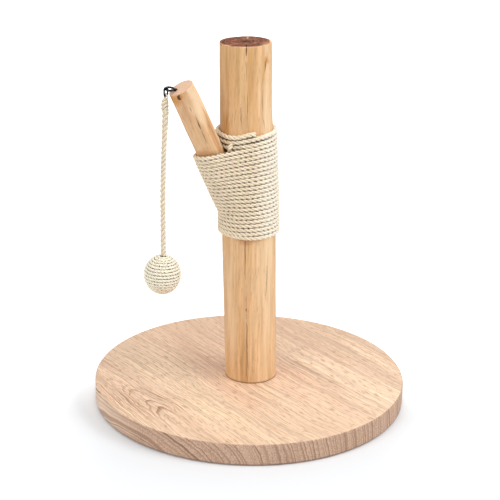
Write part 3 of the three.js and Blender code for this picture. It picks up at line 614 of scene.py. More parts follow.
for middle, size, amount, stain in BRANCH_STAINS:
    at = BRANCH_TURN.inverted() @ (Vector(middle) - BRANCH_FOOT)
    mask = use(tree, spot, Place=place, Middle=at * MM, Size=mm(*size), Fray=0.4, Edge=0.75)["Mask"]
    colour = blend_colours(tree, maths(tree, "MULTIPLY", mask, amount), colour, stain)
colour, height = draw_cracks(tree, object_place(tree), BRANCH_CRACKS, colour, height)
# The knot's dark heart and its brown right side.
for middle, size, stain in (
    ((-77.7, -55.5, 360.6), (3.0, 6, 3.6), (0.07, 0.022, 0.008)),
    ((-75.7, -55.5, 361.8), (1.9, 6, 2.5), (0.60, 0.24, 0.05)),
):
    mask = use(tree, spot, Place=object_place(tree), Middle=mm(*middle), Size=mm(*size), Fray=0.2, Edge=0.45)["Mask"]
    colour = blend_colours(tree, mask, colour, stain)
tree.links.new(colour, shader.inputs["Base Color"])
shader.inputs["Roughness"].default_value = 0.58
bump(tree, shader, height, 0.35 * MM, 0.6)

# Its sawn end.
branch_end_look, tree, shader = new_look("branch_end_grain")
place = object_place(tree, middle=(-0.0763, -0.0424, 0.3688), turn=BRANCH_TURN.to_euler())
ring = use(tree, rings, Place=place, Spacing=0.0019, Wobble=0.002, Wobble_Size=(120, 120, 20), Sharpness=2.0)
grainy = put(tree, "ShaderNodeTexNoise", {"Vector": place, "Scale": 420.0, "Detail": 4.0}).outputs[0]
colour = ramp(tree, grainy, [(0.3, (0.70, 0.42, 0.26)), (0.55, (0.80, 0.53, 0.36)), (0.75, (0.86, 0.62, 0.45))])
colour = blend_colours(tree, maths(tree, "MULTIPLY", ring["Line"], 0.35), colour, (0.50, 0.27, 0.16))
tree.links.new(colour, shader.inputs["Base Color"])
shader.inputs["Roughness"].default_value = 0.65
bump(tree, shader, maths(tree, "ADD", grainy, ring["Line"]), 0.2 * MM, 0.5)

# The board: flat-sawn wood with fine pores. Its grain runs to the front right. The pith lies just under the
# board at the front left and rises along the grain, so the growth rings make a pointed figure there.
board_look, tree, shader = new_look("sanded_board")
GRAIN_TURN = math.radians(-54)
FIGURE_TIP = (-0.128, -0.057, 0.0)
place = object_place(tree)
along_grain = object_place(tree, middle=FIGURE_TIP, turn=(0, 0, GRAIN_TURN))
parts = put(tree, "ShaderNodeSeparateXYZ", {0: along_grain}).outputs
sway = put(tree, "ShaderNodeTexNoise", {"Vector": along_grain, "Scale": 7.0, "Detail": 2.0}).outputs[0]
sway = maths(tree, "MULTIPLY", maths(tree, "SUBTRACT", sway, 0.5), 0.030)
across = maths(tree, "ADD", parts[1], sway)
PITH_RISE = 0.065
PITH_DEPTH = 0.0  # under the floor's level at the figure's tip
below = maths(tree, "SUBTRACT", maths(tree, "ADD", parts[2], PITH_DEPTH), maths(tree, "MULTIPLY", parts[0], PITH_RISE))
trunk = put(tree, "ShaderNodeCombineXYZ", {0: across, 1: below, 2: parts[0]}).outputs[0]
ring = use(tree, rings, Place=trunk, Spacing=0.0021, Wobble=0.0024, Wobble_Size=(80, 80, 24), Sharpness=3.2)
# Round the rim the sawn ends of the rings lean to the right, less and less steeply towards the left.
rim_trunk = put(tree, "ShaderNodeVectorMath", {0: trunk, 1: (0.075, 0.04, 0)}, operation="ADD").outputs[0]
rim_ring = use(tree, rings, Place=rim_trunk, Spacing=0.0037, Wobble=0.003, Wobble_Size=(120, 120, 20), Sharpness=2.2)
swayed = put(tree, "ShaderNodeCombineXYZ", {0: parts[0], 1: across, 2: parts[2]}).outputs[0]
fine_line = use(tree, fibres, Place=swayed, Fineness=(9, 640, 640), Detail=3.0)[0]
broad_line = use(tree, fibres, Place=swayed, Fineness=(4, 300, 300), Detail=3.0)[0]
pores = use(tree, fibres, Place=swayed, Fineness=(75, 640, 640), Detail=3.0)[0]
tone = use(tree, fibres, Place=swayed, Fineness=(4, 22, 22), Detail=3.0)[0]
colour = ramp(tree, tone, [
    (0.32, (0.78, 0.51, 0.35)), (0.46, (0.86, 0.60, 0.42)), (0.6, (0.92, 0.67, 0.47)), (0.72, (0.95, 0.70, 0.47)),
])
figured = use(tree, spot, Place=place, Middle=mm(-118, -85, 13), Size=mm(95, 95, 60), Fray=0.3, Edge=0.9)["Mask"]
strong_years = steps_between(tree, ring["Band"], 0.38, 0.58, 0.35, 1.0)
line_share = maths(tree, "MULTIPLY", maths(tree, "MULTIPLY", ring["Line"], strong_years), 0.14)
colour = blend_colours(tree, line_share, colour, (0.33, 0.15, 0.07))
tip_ring = use(tree, rings, Place=trunk, Spacing=0.0016, Wobble=0.0028, Wobble_Size=(80, 80, 30), Sharpness=4.5)
tip_years = steps_between(tree, tip_ring["Band"], 0.34, 0.5, 0.45, 1.0)
tip_line = maths(tree, "MULTIPLY", steps_between(tree, tip_ring["Line"], 0.05, 0.75), tip_years)
colour = blend_colours(tree, maths(tree, "MULTIPLY", tip_line, figured), colour, (0.34, 0.14, 0.055))
stripes = steps_between(tree, fine_line, 0.36, 0.64, 0.82, 1.12)
stripes = maths(tree, "MULTIPLY", stripes, steps_between(tree, broad_line, 0.32, 0.68, 0.87, 1.10))
stripes = put(tree, "ShaderNodeCombineColor", {0: stripes, 1: stripes, 2: stripes}).outputs[0]
colour = blend_colours(tree, 1.0, colour, stripes, "MULTIPLY")
pore = maths(tree, "MULTIPLY", steps_between(tree, pores, 0.55, 0.63), 0.68)
colour = blend_colours(tree, pore, colour, (0.44, 0.25, 0.13))
BOARD_STAINS = [
    ((64, 20, 25), (50, 3.0, 4), 0.75, (0.50, 0.27, 0.16)),
    ((96, -22, 25), (40, 2.0, 4), 0.55, (0.50, 0.27, 0.16)),
    ((-145, -29, 25), (9, 3.5, 4), 0.6, (0.62, 0.30, 0.20)),
    ((-107, -98, 25), (11, 4, 4), 0.5, (0.62, 0.33, 0.20)),
    ((20, -128, 25), (45, 3, 4), 0.45, (0.55, 0.31, 0.18)),
    ((60, 130, 25), (70, 8, 4), 0.35, (0.66, 0.40, 0.27)),
    ((-20, 100, 25), (60, 5, 4), 0.35, (0.62, 0.37, 0.24)),
    ((-70, 62, 25), (50, 3, 4), 0.4, (0.58, 0.33, 0.20)),
]
turned = Matrix.Rotation(GRAIN_TURN, 3, "Z").inverted()
for middle, size, share, stain in BOARD_STAINS:
    at = turned @ (Vector(middle) * MM - Vector(FIGURE_TIP))
    mask = use(tree, spot, Place=along_grain, Middle=at, Size=mm(*size), Fray=0.5, Edge=0.85)["Mask"]
    colour = blend_colours(tree, maths(tree, "MULTIPLY", mask, share), colour, stain)
# Painted shade: a little darker towards the back and the front.
backwards = put(tree, "ShaderNodeSeparateXYZ", {0: place}).outputs[1]
colour = blend_colours(tree, steps_between(tree, backwards, 0.0, 0.15, 0.0, 0.42), colour, (0.66, 0.41, 0.26))
colour = blend_colours(tree, steps_between(tree, backwards, -0.05, -0.15, 0.0, 0.22), colour, (0.66, 0.43, 0.27))
flat_place = put(tree, "ShaderNodeVectorMath", {0: place, 1: (1, 1, 0)}, operation="MULTIPLY").outputs[0]
from_middle = put(tree, "ShaderNodeVectorMath", {0: flat_place}, operation="LENGTH").outputs["Value"]
rim = steps_between(tree, from_middle, 0.1738, 0.1746)
end_pores = put(tree, "ShaderNodeTexNoise", {"Vector": place, "Scale": 800.0, "Detail": 3.0}).outputs[0]
rim_tone = ramp(tree, end_pores, [(0.34, (0.42, 0.26, 0.17)), (0.5, (0.58, 0.375, 0.26)), (0.68, (0.70, 0.48, 0.34))])
rim_years = steps_between(tree, rim_ring["Band"], 0.38, 0.6, 0.45, 1.0)
rim_line = maths(tree, "MULTIPLY", rim_ring["Line"], rim_years)
# Painted light: the rim is painted paler at the left, where less light falls on it.
rim_left_light = use(tree, spot, Place=place, Middle=mm(-168, -52, 13), Size=mm(85, 120, 60), Fray=0.2, Edge=0.9)["Mask"]
rim_tone = blend_colours(tree, maths(tree, "MULTIPLY", rim_left_light, 0.9), rim_tone, (0.93, 0.68, 0.50))
rim_tone = blend_colours(tree, rim_line, rim_tone, (0.22, 0.11, 0.06))
# Painted shade: a dark line along the foot of the rim, above the floor.
board_up = put(tree, "ShaderNodeSeparateXYZ", {0: place}).outputs[2]
rim_foot_shade = steps_between(tree, board_up, 0.0014, 0.0034, 0.7, 0.0)
rim_tone = blend_colours(tree, rim_foot_shade, rim_tone, (0.16, 0.10, 0.09))
colour = blend_colours(tree, rim, colour, rim_tone)
tree.links.new(colour, shader.inputs["Base Color"])
tree.links.new(steps_between(tree, fine_line, 0.3, 0.7, 0.62, 0.5), shader.inputs["Roughness"])
relief = maths(tree, "SUBTRACT", fine_line, maths(tree, "MULTIPLY", pore, 1.5))
bump(tree, shader, relief, 0.2 * MM, 0.5)


def sisal_look(name, tones, crease_shade_tone, fineness, crease_shade=0.62, gap_shading=None, dots=(0.34, 0.6, 0.3), painted_light_side=None, blush=None):
    look, tree, shader = new_look(name)
    lay = put(tree, "ShaderNodeUVMap", uv_map="lay").outputs[0]
    parts = use(tree, yarn, Lay=lay, Fineness=fineness)
    colour = ramp(tree, parts["Fibre"], tones)
    patch = steps_between(tree, parts["Patch"], 0.35, 0.65)
    colour = blend_colours(tree, 1.0, colour, ramp(tree, patch, [(0, (1.0, 0.94, 0.90)), (1, (0.99, 0.98, 0.88))]), "MULTIPLY")
    # Painted shade in the creases between strands.
    colour = blend_colours(tree, maths(tree, "MULTIPLY", parts["Crease"], crease_shade), colour, crease_shade_tone)
    # Painted shade: where a point faces a neighbouring turn or the wood, the rope is painted dark brown, broken into
    # dots.
    if gap_shading:
        start, full, strength = gap_shading
        shade_depth = put(tree, "ShaderNodeAttribute", attribute_name="depth").outputs["Fac"]
        painted_gap_shade = maths(tree, "MULTIPLY", steps_between(tree, shade_depth, start, full), strength)
        painted_gap_shade = maths(tree, "MULTIPLY", painted_gap_shade, steps_between(tree, parts["Dots"], *dots, 1.0))
        # Painted light: towards the right, where the key light falls, the painted gap shade is weaker and the rope is
        # painted paler.
        if painted_light_side:
            right = put(tree, "ShaderNodeSeparateXYZ", {0: object_place(tree)}).outputs[0]
            painted_light = steps_between(tree, right, *painted_light_side)
            painted_gap_shade = maths(tree, "MULTIPLY", painted_gap_shade, steps_between(tree, painted_light, 0.0, 1.0, 1.0, 0.42))
            colour = blend_colours(tree, maths(tree, "MULTIPLY", painted_light, 0.5), colour, (1.0, 0.97, 0.87))
        colour = blend_colours(tree, painted_gap_shade, colour, (0.15, 0.08, 0.035))
    if blush:
        middle, size, tint = blush
        mask = use(tree, spot, Place=object_place(tree), Middle=mm(*middle), Size=mm(*size), Fray=0.2, Edge=0.9)["Mask"]
        colour = blend_colours(tree, mask, colour, tint, "MULTIPLY")
    tree.links.new(colour, shader.inputs["Base Color"])
    shader.inputs["Roughness"].default_value = 0.85
    shader.inputs["Specular IOR Level"].default_value = 0.25
    shader.inputs["Sheen Weight"].default_value = 0.15
    bump(tree, shader, parts["Fibre"], 0.5 * MM, 0.8)
    return look


ROPE_TONES = [(0.3, (0.60, 0.45, 0.29)), (0.43, (0.88, 0.75, 0.58)), (0.58, (0.97, 0.88, 0.73)), (0.7, (1.0, 0.95, 0.84))]
CREASE_SHADE_TONE = (0.36, 0.25, 0.14)
HANGING_TONES = [(0.3, (0.55, 0.42, 0.28)), (0.43, (0.80, 0.69, 0.55)), (0.58, (0.90, 0.82, 0.70)), (0.7, (0.95, 0.90, 0.81))]
rope_look = sisal_look("sisal_rope", HANGING_TONES, CREASE_SHADE_TONE, 1.0)
lashing_look = sisal_look("sisal_lashing", ROPE_TONES, CREASE_SHADE_TONE, 1.0, gap_shading=(0.21, 0.37, 1.0), painted_light_side=(-5 * MM, 22 * MM))
cord_look = sisal_look(
    "sisal_cord", [(0.3, (0.86, 0.73, 0.54)), (0.43, (1.0, 0.96, 0.82)), (0.7, (1.0, 1.0, 0.94))],
    (0.42, 0.29, 0.16), 1.4, crease_shade=0.32, gap_shading=(0.20, 0.36, 1.0), dots=(0.50, 0.64, 0.06),
    blush=((-92, -52, 138), (26, 26, 24), (1.0, 0.82, 0.69)),
)

# Black polished wire, with a few rubbed places.
black_look, tree, shader = new_look("black_steel")
place = object_place(tree)
rubbed = put(tree, "ShaderNodeTexNoise", {"Vector": place, "Scale": 700.0, "Detail": 3.0}).outputs[0]
tree.links.new(
    ramp(tree, rubbed, [(0.35, (0.012, 0.012, 0.014)), (0.62, (0.03, 0.03, 0.034)), (0.78, (0.16, 0.16, 0.17))]),
    shader.inputs["Base Color"],
)
tree.links.new(steps_between(tree, rubbed, 0.3, 0.8, 0.16, 0.34), shader.inputs["Roughness"])
shader.inputs["Metallic"].default_value = 0.85
bump(tree, shader, rubbed, 0.03 * MM, 0.3)

# Zinc plate: pale spangled metal.
zinc_look, tree, shader = new_look("zinc_plate")
spangle = put(tree, "ShaderNodeTexVoronoi", {"Vector": object_place(tree), "Scale": 900.0}).outputs["Color"]
tree.links.new(
    ramp(tree, spangle, [(0.2, (0.50, 0.51, 0.52)), (0.8, (0.68, 0.69, 0.70))]), shader.inputs["Base Color"]
)
tree.links.new(steps_between(tree, spangle, 0.0, 1.0, 0.28, 0.42), shader.inputs["Roughness"])
shader.inputs["Metallic"].default_value = 1.0

# Pressed felt.
felt_look, tree, shader = new_look("brown_felt")
fluff = put(tree, "ShaderNodeTexNoise", {"Vector": object_place(tree), "Scale": 1600.0, "Detail": 4.0}).outputs[0]
tree.links.new(
    ramp(tree, fluff, [(0.3, (0.07, 0.055, 0.045)), (0.7, (0.16, 0.125, 0.10))]), shader.inputs["Base Color"]
)
shader.inputs["Roughness"].default_value = 0.95
bump(tree, shader, fluff, 0.3 * MM, 0.8)

# Plain turned wood inside the ball.
core_look, tree, shader = new_look("core_wood")
colour, height = wood_side(
    tree, object_place(tree), [(0.3, (0.50, 0.33, 0.18)), (0.5, (0.60, 0.42, 0.25)), (0.7, (0.68, 0.50, 0.31))],
    (110, 500, 900), 0.3,
)
tree.links.new(colour, shader.inputs["Base Color"])
shader.inputs["Roughness"].default_value = 0.7
bump(tree, shader, height, 0.3 * MM, 0.5)


# ---- Round sticks ----
def stick(name, sections, sides):
    """A round stick with its bark off: a circle, extruded from section to section and sized at each.
    A section is its middle and its radius; the stick's ends are closed."""
    (middle, radius), *rest = sections
    axis = rest[0][0] - middle
    deselect()
    bpy.ops.mesh.primitive_circle_add(vertices=sides, radius=radius, location=middle, rotation=turn_to(axis))
    piece = named(name)
    bpy.ops.object.transform_apply(location=True, rotation=True, scale=True)
    bpy.ops.object.mode_set(mode="EDIT")
    bpy.ops.mesh.select_all(action="SELECT")
    bpy.ops.mesh.edge_face_add()
    for after, new_radius in rest:
        bpy.ops.mesh.extrude_region_move(TRANSFORM_OT_translate={"value": after - middle})
        bpy.ops.transform.resize(value=(new_radius / radius,) * 3, center_override=after)
        middle, radius = after, new_radius
    bpy.ops.mesh.select_all(action="SELECT")
    bpy.ops.mesh.normals_make_consistent(inside=False)
    bpy.ops.object.mode_set(mode="OBJECT")
    return piece


def uneven(piece, size, depth, seed):
    """Dents and swells of a natural stick: clouds drawn out along its height."""
    deselect()
    bpy.ops.object.empty_add(location=(seed, 0, 0))
    ruler = bpy.context.active_object
    ruler.scale = size
    bpy.context.view_layer.update()
    clouds = bpy.data.textures.new(piece.name + "_dents", "CLOUDS")
    clouds.noise_scale = 1.0
    clouds.noise_depth = 2
    apply_modifier(
        piece, "DISPLACE", texture=clouds, texture_coords="OBJECT", texture_coords_object=ruler,
        strength=depth, mid_level=0.5,
    )
    remove(ruler)


# The log's middle, left or right of its straight axis, and its radius, by height.
LOG_LEVELS = [
    (25, 0.35, 28.8), (60, 0.4, 29.0), (102, 0.55, 29.15), (140, 0.5, 29.3), (179, 0.6, 29.5), (230, 0.6, 29.5),
    (280, 0.1, 29.0), (321, -0.75, 28.5), (338, -0.8, 28.2), (356, -0.45, 28.05), (382, -0.1, 28.2),
    (399, 0, 28.05), (409, 0, 27.9),
]
LOG_BANDS = 64


def log_middle(z):
    """The log's middle and radius at a height, all in millimetres."""
    levels, shifts, radii = zip(*LOG_LEVELS)
    share = (z - 25) / 384
    x = 1.2 - 11.7 * share + float(np.interp(z, levels, shifts))
    return x, 1.8 + 0.1 * share, float(np.interp(z, levels, radii))


log_sections = []
for band in range(LOG_BANDS + 1):
    z = 25 + 384 * band / LOG_BANDS
    x, y, radius = log_middle(z)
    log_sections.append((mm(x, y, z), radius * MM))
log = stick("peeled_log_post", log_sections, 128)
uneven(log, (0.016, 0.016, 0.11), 0.9 * MM, 3.3)
bevel_edges(log, 0.9 * MM, 3, lambda m, a, b: min(a.z, b.z) > 0.4085)
smooth(log)
finish_piece(
    log, "stand", "log_wood", log_look, "post_log", end_look=log_end_look,
    is_end=lambda face: face.normal.z > 0.9 and face.center.z > 0.4,
)

# ---- Branch ----
CUT_NORMAL = Vector((-0.447, -0.216, 0.868)).normalized()
BRANCH_TIP = Vector((-76.349, -42.411, 368.780))
# Along its axis: radius, and how far its middle lies to the right of the straight line.
BRANCH_LEVELS = [(0, 14.0, 0), (60, 14.4, -0.9), (95, 14.4, -0.8), (125, 14.3, 0), (170, 14.4, 0), (185, 14.2, -0.3), (215, 13.4, -1.0)]


def branch_middle(s):
    places, radii, shifts = zip(*BRANCH_LEVELS)
    middle = BRANCH_FOOT + BRANCH_AXIS * s + Vector((float(np.interp(s, places, shifts)), 0, 0))
    return middle, float(np.interp(s, places, radii))


branch_sections = [(branch_middle(s)[0] * MM, branch_middle(s)[1] * MM) for s in np.linspace(8, 215, 40)]
branch = stick("peeled_branch_stub", branch_sections, 72)
uneven(branch, (0.012, 0.012, 0.05), 0.7 * MM, 7.1)
pick(branch)
bpy.ops.object.mode_set(mode="EDIT")
bpy.ops.mesh.select_all(action="SELECT")
bpy.ops.mesh.bisect(
    plane_co=BRANCH_TIP * MM, plane_no=CUT_NORMAL, use_fill=True, clear_outer=True, clear_inner=False
)
bpy.ops.object.mode_set(mode="OBJECT")


def on_cut(point):
    return abs((point / MM - BRANCH_TIP).dot(CUT_NORMAL)) < 0.02


bevel_edges(branch, 0.8 * MM, 3, lambda m, a, b: on_cut(a) and on_cut(b))
pick(log)
bpy.ops.object.duplicate()
log_space = named("log_space")
apply_modifier(branch, "BOOLEAN", object=log_space, operation="DIFFERENCE", solver="EXACT")
remove(log_space)
smooth(branch)
finish_piece(
    branch, "stand", "branch_wood", branch_look, "branch", end_look=branch_end_look,
    is_end=lambda face: face.normal.dot(CUT_NORMAL) > 0.95 and face.center.z > 0.35,
)

# ---- Board ----
deselect()
bpy.ops.mesh.primitive_cylinder_add(vertices=256, radius=0.175, depth=0.024, location=(0, 0, 0.013))
board = settle(named("round_base_board"))
bevel_edges(board, 1.5 * MM, 4, lambda m, a, b: abs(a.z - b.z) < 1e-6)
deselect()
bpy.ops.mesh.primitive_cylinder_add(vertices=64, radius=0.014, depth=0.02, location=(0.0012, 0.0018, 0.001))
counterbore = named("counterbore")
apply_modifier(board, "BOOLEAN", object=counterbore, operation="DIFFERENCE", solver="EXACT")
remove(counterbore)
smooth(board, 30)
finish_piece(board, "stand", "board_wood", board_look, "base_board")

# ---- Lashing ----
ROPE_OFF = 2.4  # from the wood to the rope's middle line


def level_way(degrees):
    return Vector((math.cos(math.radians(degrees)), math.sin(math.radians(degrees)), 0))


def on_log(way, z):
    """Where the rope's middle line touches down on the log, on its side in a level way."""
    x, y, radius = log_middle(z)
    return Vector((x, y, z)) + way * (radius + ROPE_OFF)


def on_branch(way, z):
    """The same place on the branch, whose level section is an ellipse."""
    middle, thick = branch_middle((z - BRANCH_FOOT.z) / BRANCH_AXIS.z)
    lean = Vector((BRANCH_AXIS.x, BRANCH_AXIS.y, 0)).normalized()
    across = Vector((-lean.y, lean.x, 0))
    long = thick / BRANCH_AXIS.z
    u, v = long * way.dot(lean), thick * way.dot(across)
    size = math.hypot(u, v)
    place = middle + lean * (long * u / size) + across * (thick * v / size) + way * ROPE_OFF
    return Vector((place.x, place.y, z))


# The upper end lies on the log alone: (direction from the log's middle in degrees, height).
UPPER_TURNS = [
    (-71, 315.4), (-78, 315.9), (-88, 314.6), (-98, 312.8), (-106, 311.7), (-115, 311.0), (-127, 310.7),
    (-139, 311.3), (-160, 312.0), (-180, 312.4), (-225, 312.5), (-270, 313.2), (-320, 314.2), (-360, 313.8),
    (-383, 313.0), (-405, 312.2), (-422, 311.2), (-432, 310.6), (-450, 308.7), (-465, 306.7), (-475, 305.8),
    (-489, 305.3), (-502, 305.5), (-520, 306.0), (-540, 306.6), (-630, 308.0), (-680, 308.4), (-720, 308.2),
    (-743, 307.6), (-765, 306.4), (-780, 305.6), (-792, 304.7), (-800, 303.9), (-806, 303.3), (-812, 302.9),
    (-818, 302.3), (-826, 301.3), (-833, 300.4), (-840, 299.8), (-850, 299.5), (-861, 299.7), (-875, 300.3),
    (-900, 301.0), (-930, 302.4), (-960, 303.9), (-980, 304.6),
]
angles, heights = np.array(UPPER_TURNS).T
fine_steps = np.linspace(0, len(UPPER_TURNS) - 1, 1200)
upper_angles = np.interp(fine_steps, np.arange(len(angles)), angles)
upper_heights = np.interp(fine_steps, np.arange(len(angles)), heights)
upper_out = [level_way(a) for a in upper_angles]
upper_line = [on_log(way, z) * MM for way, z in zip(upper_out, upper_heights)]

# The rope's tail comes out under the second turn, lies over the third and goes down behind the big turns:
# (direction, height, how far it stands out from the other turns).
TAIL = [
    (-118.0, 306.0, -1.8), (-118.6, 304.2, 0.2), (-119.4, 302.4, 2.6), (-120.2, 300.6, 3.9), (-120.9, 298.6, 4.2),
    (-121.5, 296.8, 3.4), (-122.0, 295.0, 1.8), (-122.4, 292.6, 0.2), (-122.6, 289.0, -0.6),
]
tail_out = [level_way(a) for a, z, off in TAIL]
tail_line = [(on_log(way, z) + way * off) * MM for way, (a, z, off) in zip(tail_out, TAIL)]

# The turns round log and branch start behind the log. They dip towards the branch, the upper ones most.
BIG_TURNS = 21.9
BIG_PITCH = 4.816
BIG_TOP = 303.4
LEVEL_FROM = 9  # in X: to the right of it a turn doesn't dip
big_line, big_out, big_bare = [], [], []
for step in range(round(BIG_TURNS * 180) + 1):
    turn = step / 180
    way = level_way(100 - 360 * turn)
    share = turn / BIG_TURNS
    tucked = 1.6 * max(0, min(1, (turn - 21.5) / 0.16))
    height = BIG_TOP - BIG_PITCH * turn + tucked + 0.25 * noise.noise(Vector((turn * 7.3, 1.7, 0.4)))
    height += 1.2 * max(0, 1 - turn / 0.53)
    places = []
    for touch in (on_log, on_branch):
        place = touch(way, height)
        for _ in range(3):
            place = touch(way, height + 0.15 * (1 - share) * min(place.x - LEVEL_FROM, 0))
        places.append(place)
    place = max(places, key=way.dot)
    big_line.append((place + way * 0.15 * noise.noise(Vector((turn * 11, 5, 2)))) * MM)
    big_out.append(way)
    big_bare.append(1 if 0.62 < turn < 1.1 else -1 if turn > BIG_TURNS - 1 else 0)
upper_bare = [-1 if a < -843 else 1 if a > -431 else 0 for a in upper_angles]
rope_lengths = [
    laid_rope("lashing_upper_turns", upper_line, upper_out, 2.75 * MM, 16.5 * MM, bare=upper_bare),
    laid_rope("lashing_tail", tail_line, tail_out, 2.8 * MM, 16.5 * MM, step=1.0 * MM, start=1.0, bare=2),
    laid_rope("lashing_big_turns", big_line, big_out, 2.7 * MM, 16.9 * MM, step=1.45 * MM, start=2.0, bare=big_bare),
]
lashing = join_pieces("sisal_lashing", *rope_lengths)
finish_piece(lashing, "stand", "sisal_rope", lashing_look, "post_lashing")

# ---- Screw eye and link ----
EYE_CENTRE = mm(-87.972, -43.836, 367.595)
EYE_SEAT = mm(-82.183, -42.690, 365.706)
EYE_WAY = Vector((-0.988, -0.147, 0.048)).normalized()
EYE_FRONT = Vector((0.137, -0.976, -0.172)).normalized()
EYE_RADIUS = 4.4 * MM
WIRE = 1.15 * MM
# The eye is drawn in a little towards the link, which hangs at its front left.
EYE_MIDDLE = EYE_CENTRE + (EYE_WAY * 0.81 + EYE_FRONT * 0.588) * 0.6 * MM
deselect()
bpy.ops.mesh.primitive_circle_add(
    vertices=20, radius=WIRE, location=EYE_MIDDLE - EYE_WAY * EYE_RADIUS, rotation=turn_to(EYE_FRONT)
)
eye_ring = settle(named("eye_ring"))
bpy.ops.object.mode_set(mode="EDIT")
bpy.ops.mesh.select_all(action="SELECT")
bpy.ops.mesh.spin(steps=60, angle=math.radians(338), center=EYE_MIDDLE, axis=EYE_FRONT.cross(EYE_WAY))
bpy.ops.mesh.select_all(action="SELECT")
bpy.ops.mesh.select_non_manifold()
bpy.ops.mesh.edge_face_add()
bpy.ops.mesh.select_all(action="SELECT")
bpy.ops.mesh.normals_make_consistent(inside=False)
deselect()
bpy.ops.mesh.primitive_cylinder_add(
    vertices=24, radius=WIRE, depth=16 * MM, location=EYE_SEAT - CUT_NORMAL * 5.8 * MM, rotation=turn_to(CUT_NORMAL)
)
shank = settle(named("eye_shank"))
deselect()
bpy.ops.mesh.primitive_cylinder_add(
    vertices=32, radius=2.3 * MM, depth=0.8 * MM, location=EYE_SEAT + CUT_NORMAL * 0.7 * MM,
    rotation=turn_to(CUT_NORMAL),
)
collar = settle(named("eye_collar"))
bevel_edges(collar, 0.22 * MM, 3, lambda m, a, b: abs((a - b).dot(CUT_NORMAL)) < 1e-6)
screw_eye = join_pieces("black_screw_eye", eye_ring, shank, collar)
smooth(screw_eye, 50)
finish_piece(screw_eye, "stand", "black_steel", black_look, "screw_eye")

LINK_NORMAL = Vector((0.594, -0.805, 0)).normalized()
LINK_TOP, LINK_FOOT = 367.303, 362.703  # heights of the middles of its two bends
deselect()
bpy.ops.mesh.primitive_torus_add(
    major_segments=48, minor_segments=18, major_radius=2.1 * MM, minor_radius=0.98 * MM,
    location=mm(-92.012, -46.776, LINK_FOOT), rotation=turn_to(LINK_NORMAL),
)
link = settle(named("black_hanging_link"))
bpy.ops.object.mode_set(mode="EDIT")
bpy.ops.mesh.select_mode(type="VERT")
bpy.ops.mesh.select_all(action="DESELECT")
bpy.ops.object.mode_set(mode="OBJECT")
for vertex in link.data.vertices:
    vertex.select = vertex.co.z > (LINK_FOOT + 0.001) * MM
bpy.ops.object.mode_set(mode="EDIT")
bpy.ops.transform.translate(value=(0, 0, (LINK_TOP - LINK_FOOT) * MM))
bpy.ops.object.mode_set(mode="OBJECT")
smooth(link, 50)
finish_piece(link, "link", "black_steel", black_look, "hanging_link")

# ---- The toy's rope eye, splice and ball ----
finish_piece(hanging_rope, "toy", "sisal_rope", rope_look, "hanging_rope")
STRAND_TOP = 362.803
STRAND_BEND = 2.6
eye_line, eye_out = [], []
for height, spread in ((353.0, 1.6), (355.2, 2.05), (357.6, 2.5)):
    eye_line.append(mm(-92.012, -46.776, height) + LINK_NORMAL * spread * MM)
    eye_out.append(LINK_NORMAL)
for step in range(17):
    angle = math.pi * step / 16
    out = LINK_NORMAL * math.cos(angle) + Vector((0, 0, math.sin(angle)))
    eye_line.append(mm(-92.012, -46.776, STRAND_TOP - STRAND_BEND) + out * STRAND_BEND * MM)
    eye_out.append(out)
for height, spread in ((357.6, 2.5), (355.2, 2.05), (353.0, 1.6)):
    eye_line.append(mm(-92.012, -46.776, height) - LINK_NORMAL * spread * MM)
    eye_out.append(-LINK_NORMAL)
rope_eye = laid_rope(
    "sisal_rope_eye", eye_line, eye_out, 1.12 * MM, 6 * MM, strands=2, step=0.35 * MM, pressed=0.6
)
finish_piece(rope_eye, "toy", "sisal_rope", rope_look, "rope_eye")

SPLICE = [
    (358.8, 1.4, 0), (358.2, 2.7, -0.3), (356.6, 3.6, -0.7), (354.2, 4.3, -1.1), (351, 4.65, -1.4),
    (348.5, 4.5, -1.3), (346.6, 4.15, -1.0), (345.2, 3.7, -0.7), (344.0, 3.0, -0.55),
]
splice = laid_rope(
    "sisal_rope_splice", [mm(-92.012 + x, -46.776, z) for z, r, x in SPLICE], [(0, -1, 0)] * len(SPLICE),
    [r * MM for z, r, x in SPLICE], 13 * MM, strands=3, step=0.5 * MM, pressed=0.54, start=0.8,
)
finish_piece(splice, "toy", "sisal_rope", rope_look, "rope_binding")

BALL_CENTRE = Vector((-95.912, -46.776, 162.728))
BALL_WIND = Vector((18.75, 18.75, 20.5))  # half sizes of the ball at the cord's middle line
BALL_TURNS = 16
ball_line, ball_out = [], []
for step in range(BALL_TURNS * 72 + 1):
    share = step / (BALL_TURNS * 72)
    polar = 0.14 + (math.pi - 0.33 - 0.14) * share + 0.013 * noise.noise(Vector((share * 120, 6, 1)))
    angle = 2 * math.pi * BALL_TURNS * share
    out = Vector((math.sin(polar) * math.cos(angle), math.sin(polar) * math.sin(angle), math.cos(polar)))
    lift = 1 + 0.016 * noise.noise(Vector((share * 110, 3, 8)))
    round_rope = Vector((0.7 * max(0, 1 - 6 * share), 0, 0))
    place = BALL_CENTRE + Vector(a * b for a, b in zip(out, BALL_WIND)) * lift + round_rope
    ball_line.append(place * MM)
    ball_out.append(out)
ball_bare = [2 if step < 72 else 0 for step in range(len(ball_line))]
ball = laid_rope("sisal_wound_ball", ball_line, ball_out, 1.78 * MM, 11 * MM, step=0.9 * MM, bare=ball_bare)
finish_piece(ball, "toy", "sisal_cord", cord_look, "ball_cord")

# The knot under the ball: the rope's end turned round itself.
KNOT_FOOT = Vector((-94.412, -46.776, 144.5))
knot_line, knot_out = [], []
for step in range(61):
    share = step / 60
    angle = 2 * math.pi * 1.6 * share
    ring = 2.3 * math.sin(math.pi * min(1, 1.15 * share))
    out = Vector((math.cos(angle), math.sin(angle), 0))
    knot_line.append((KNOT_FOOT + out * ring + Vector((0, 0, 2.2 + 15.0 * share**1.6))) * MM)
    knot_out.append(out)
knot = laid_rope("sisal_stop_knot", knot_line, knot_out, 2.3 * MM, 14 * MM, step=0.6 * MM)
finish_piece(knot, "toy", "sisal_rope", rope_look, "rope_knot")

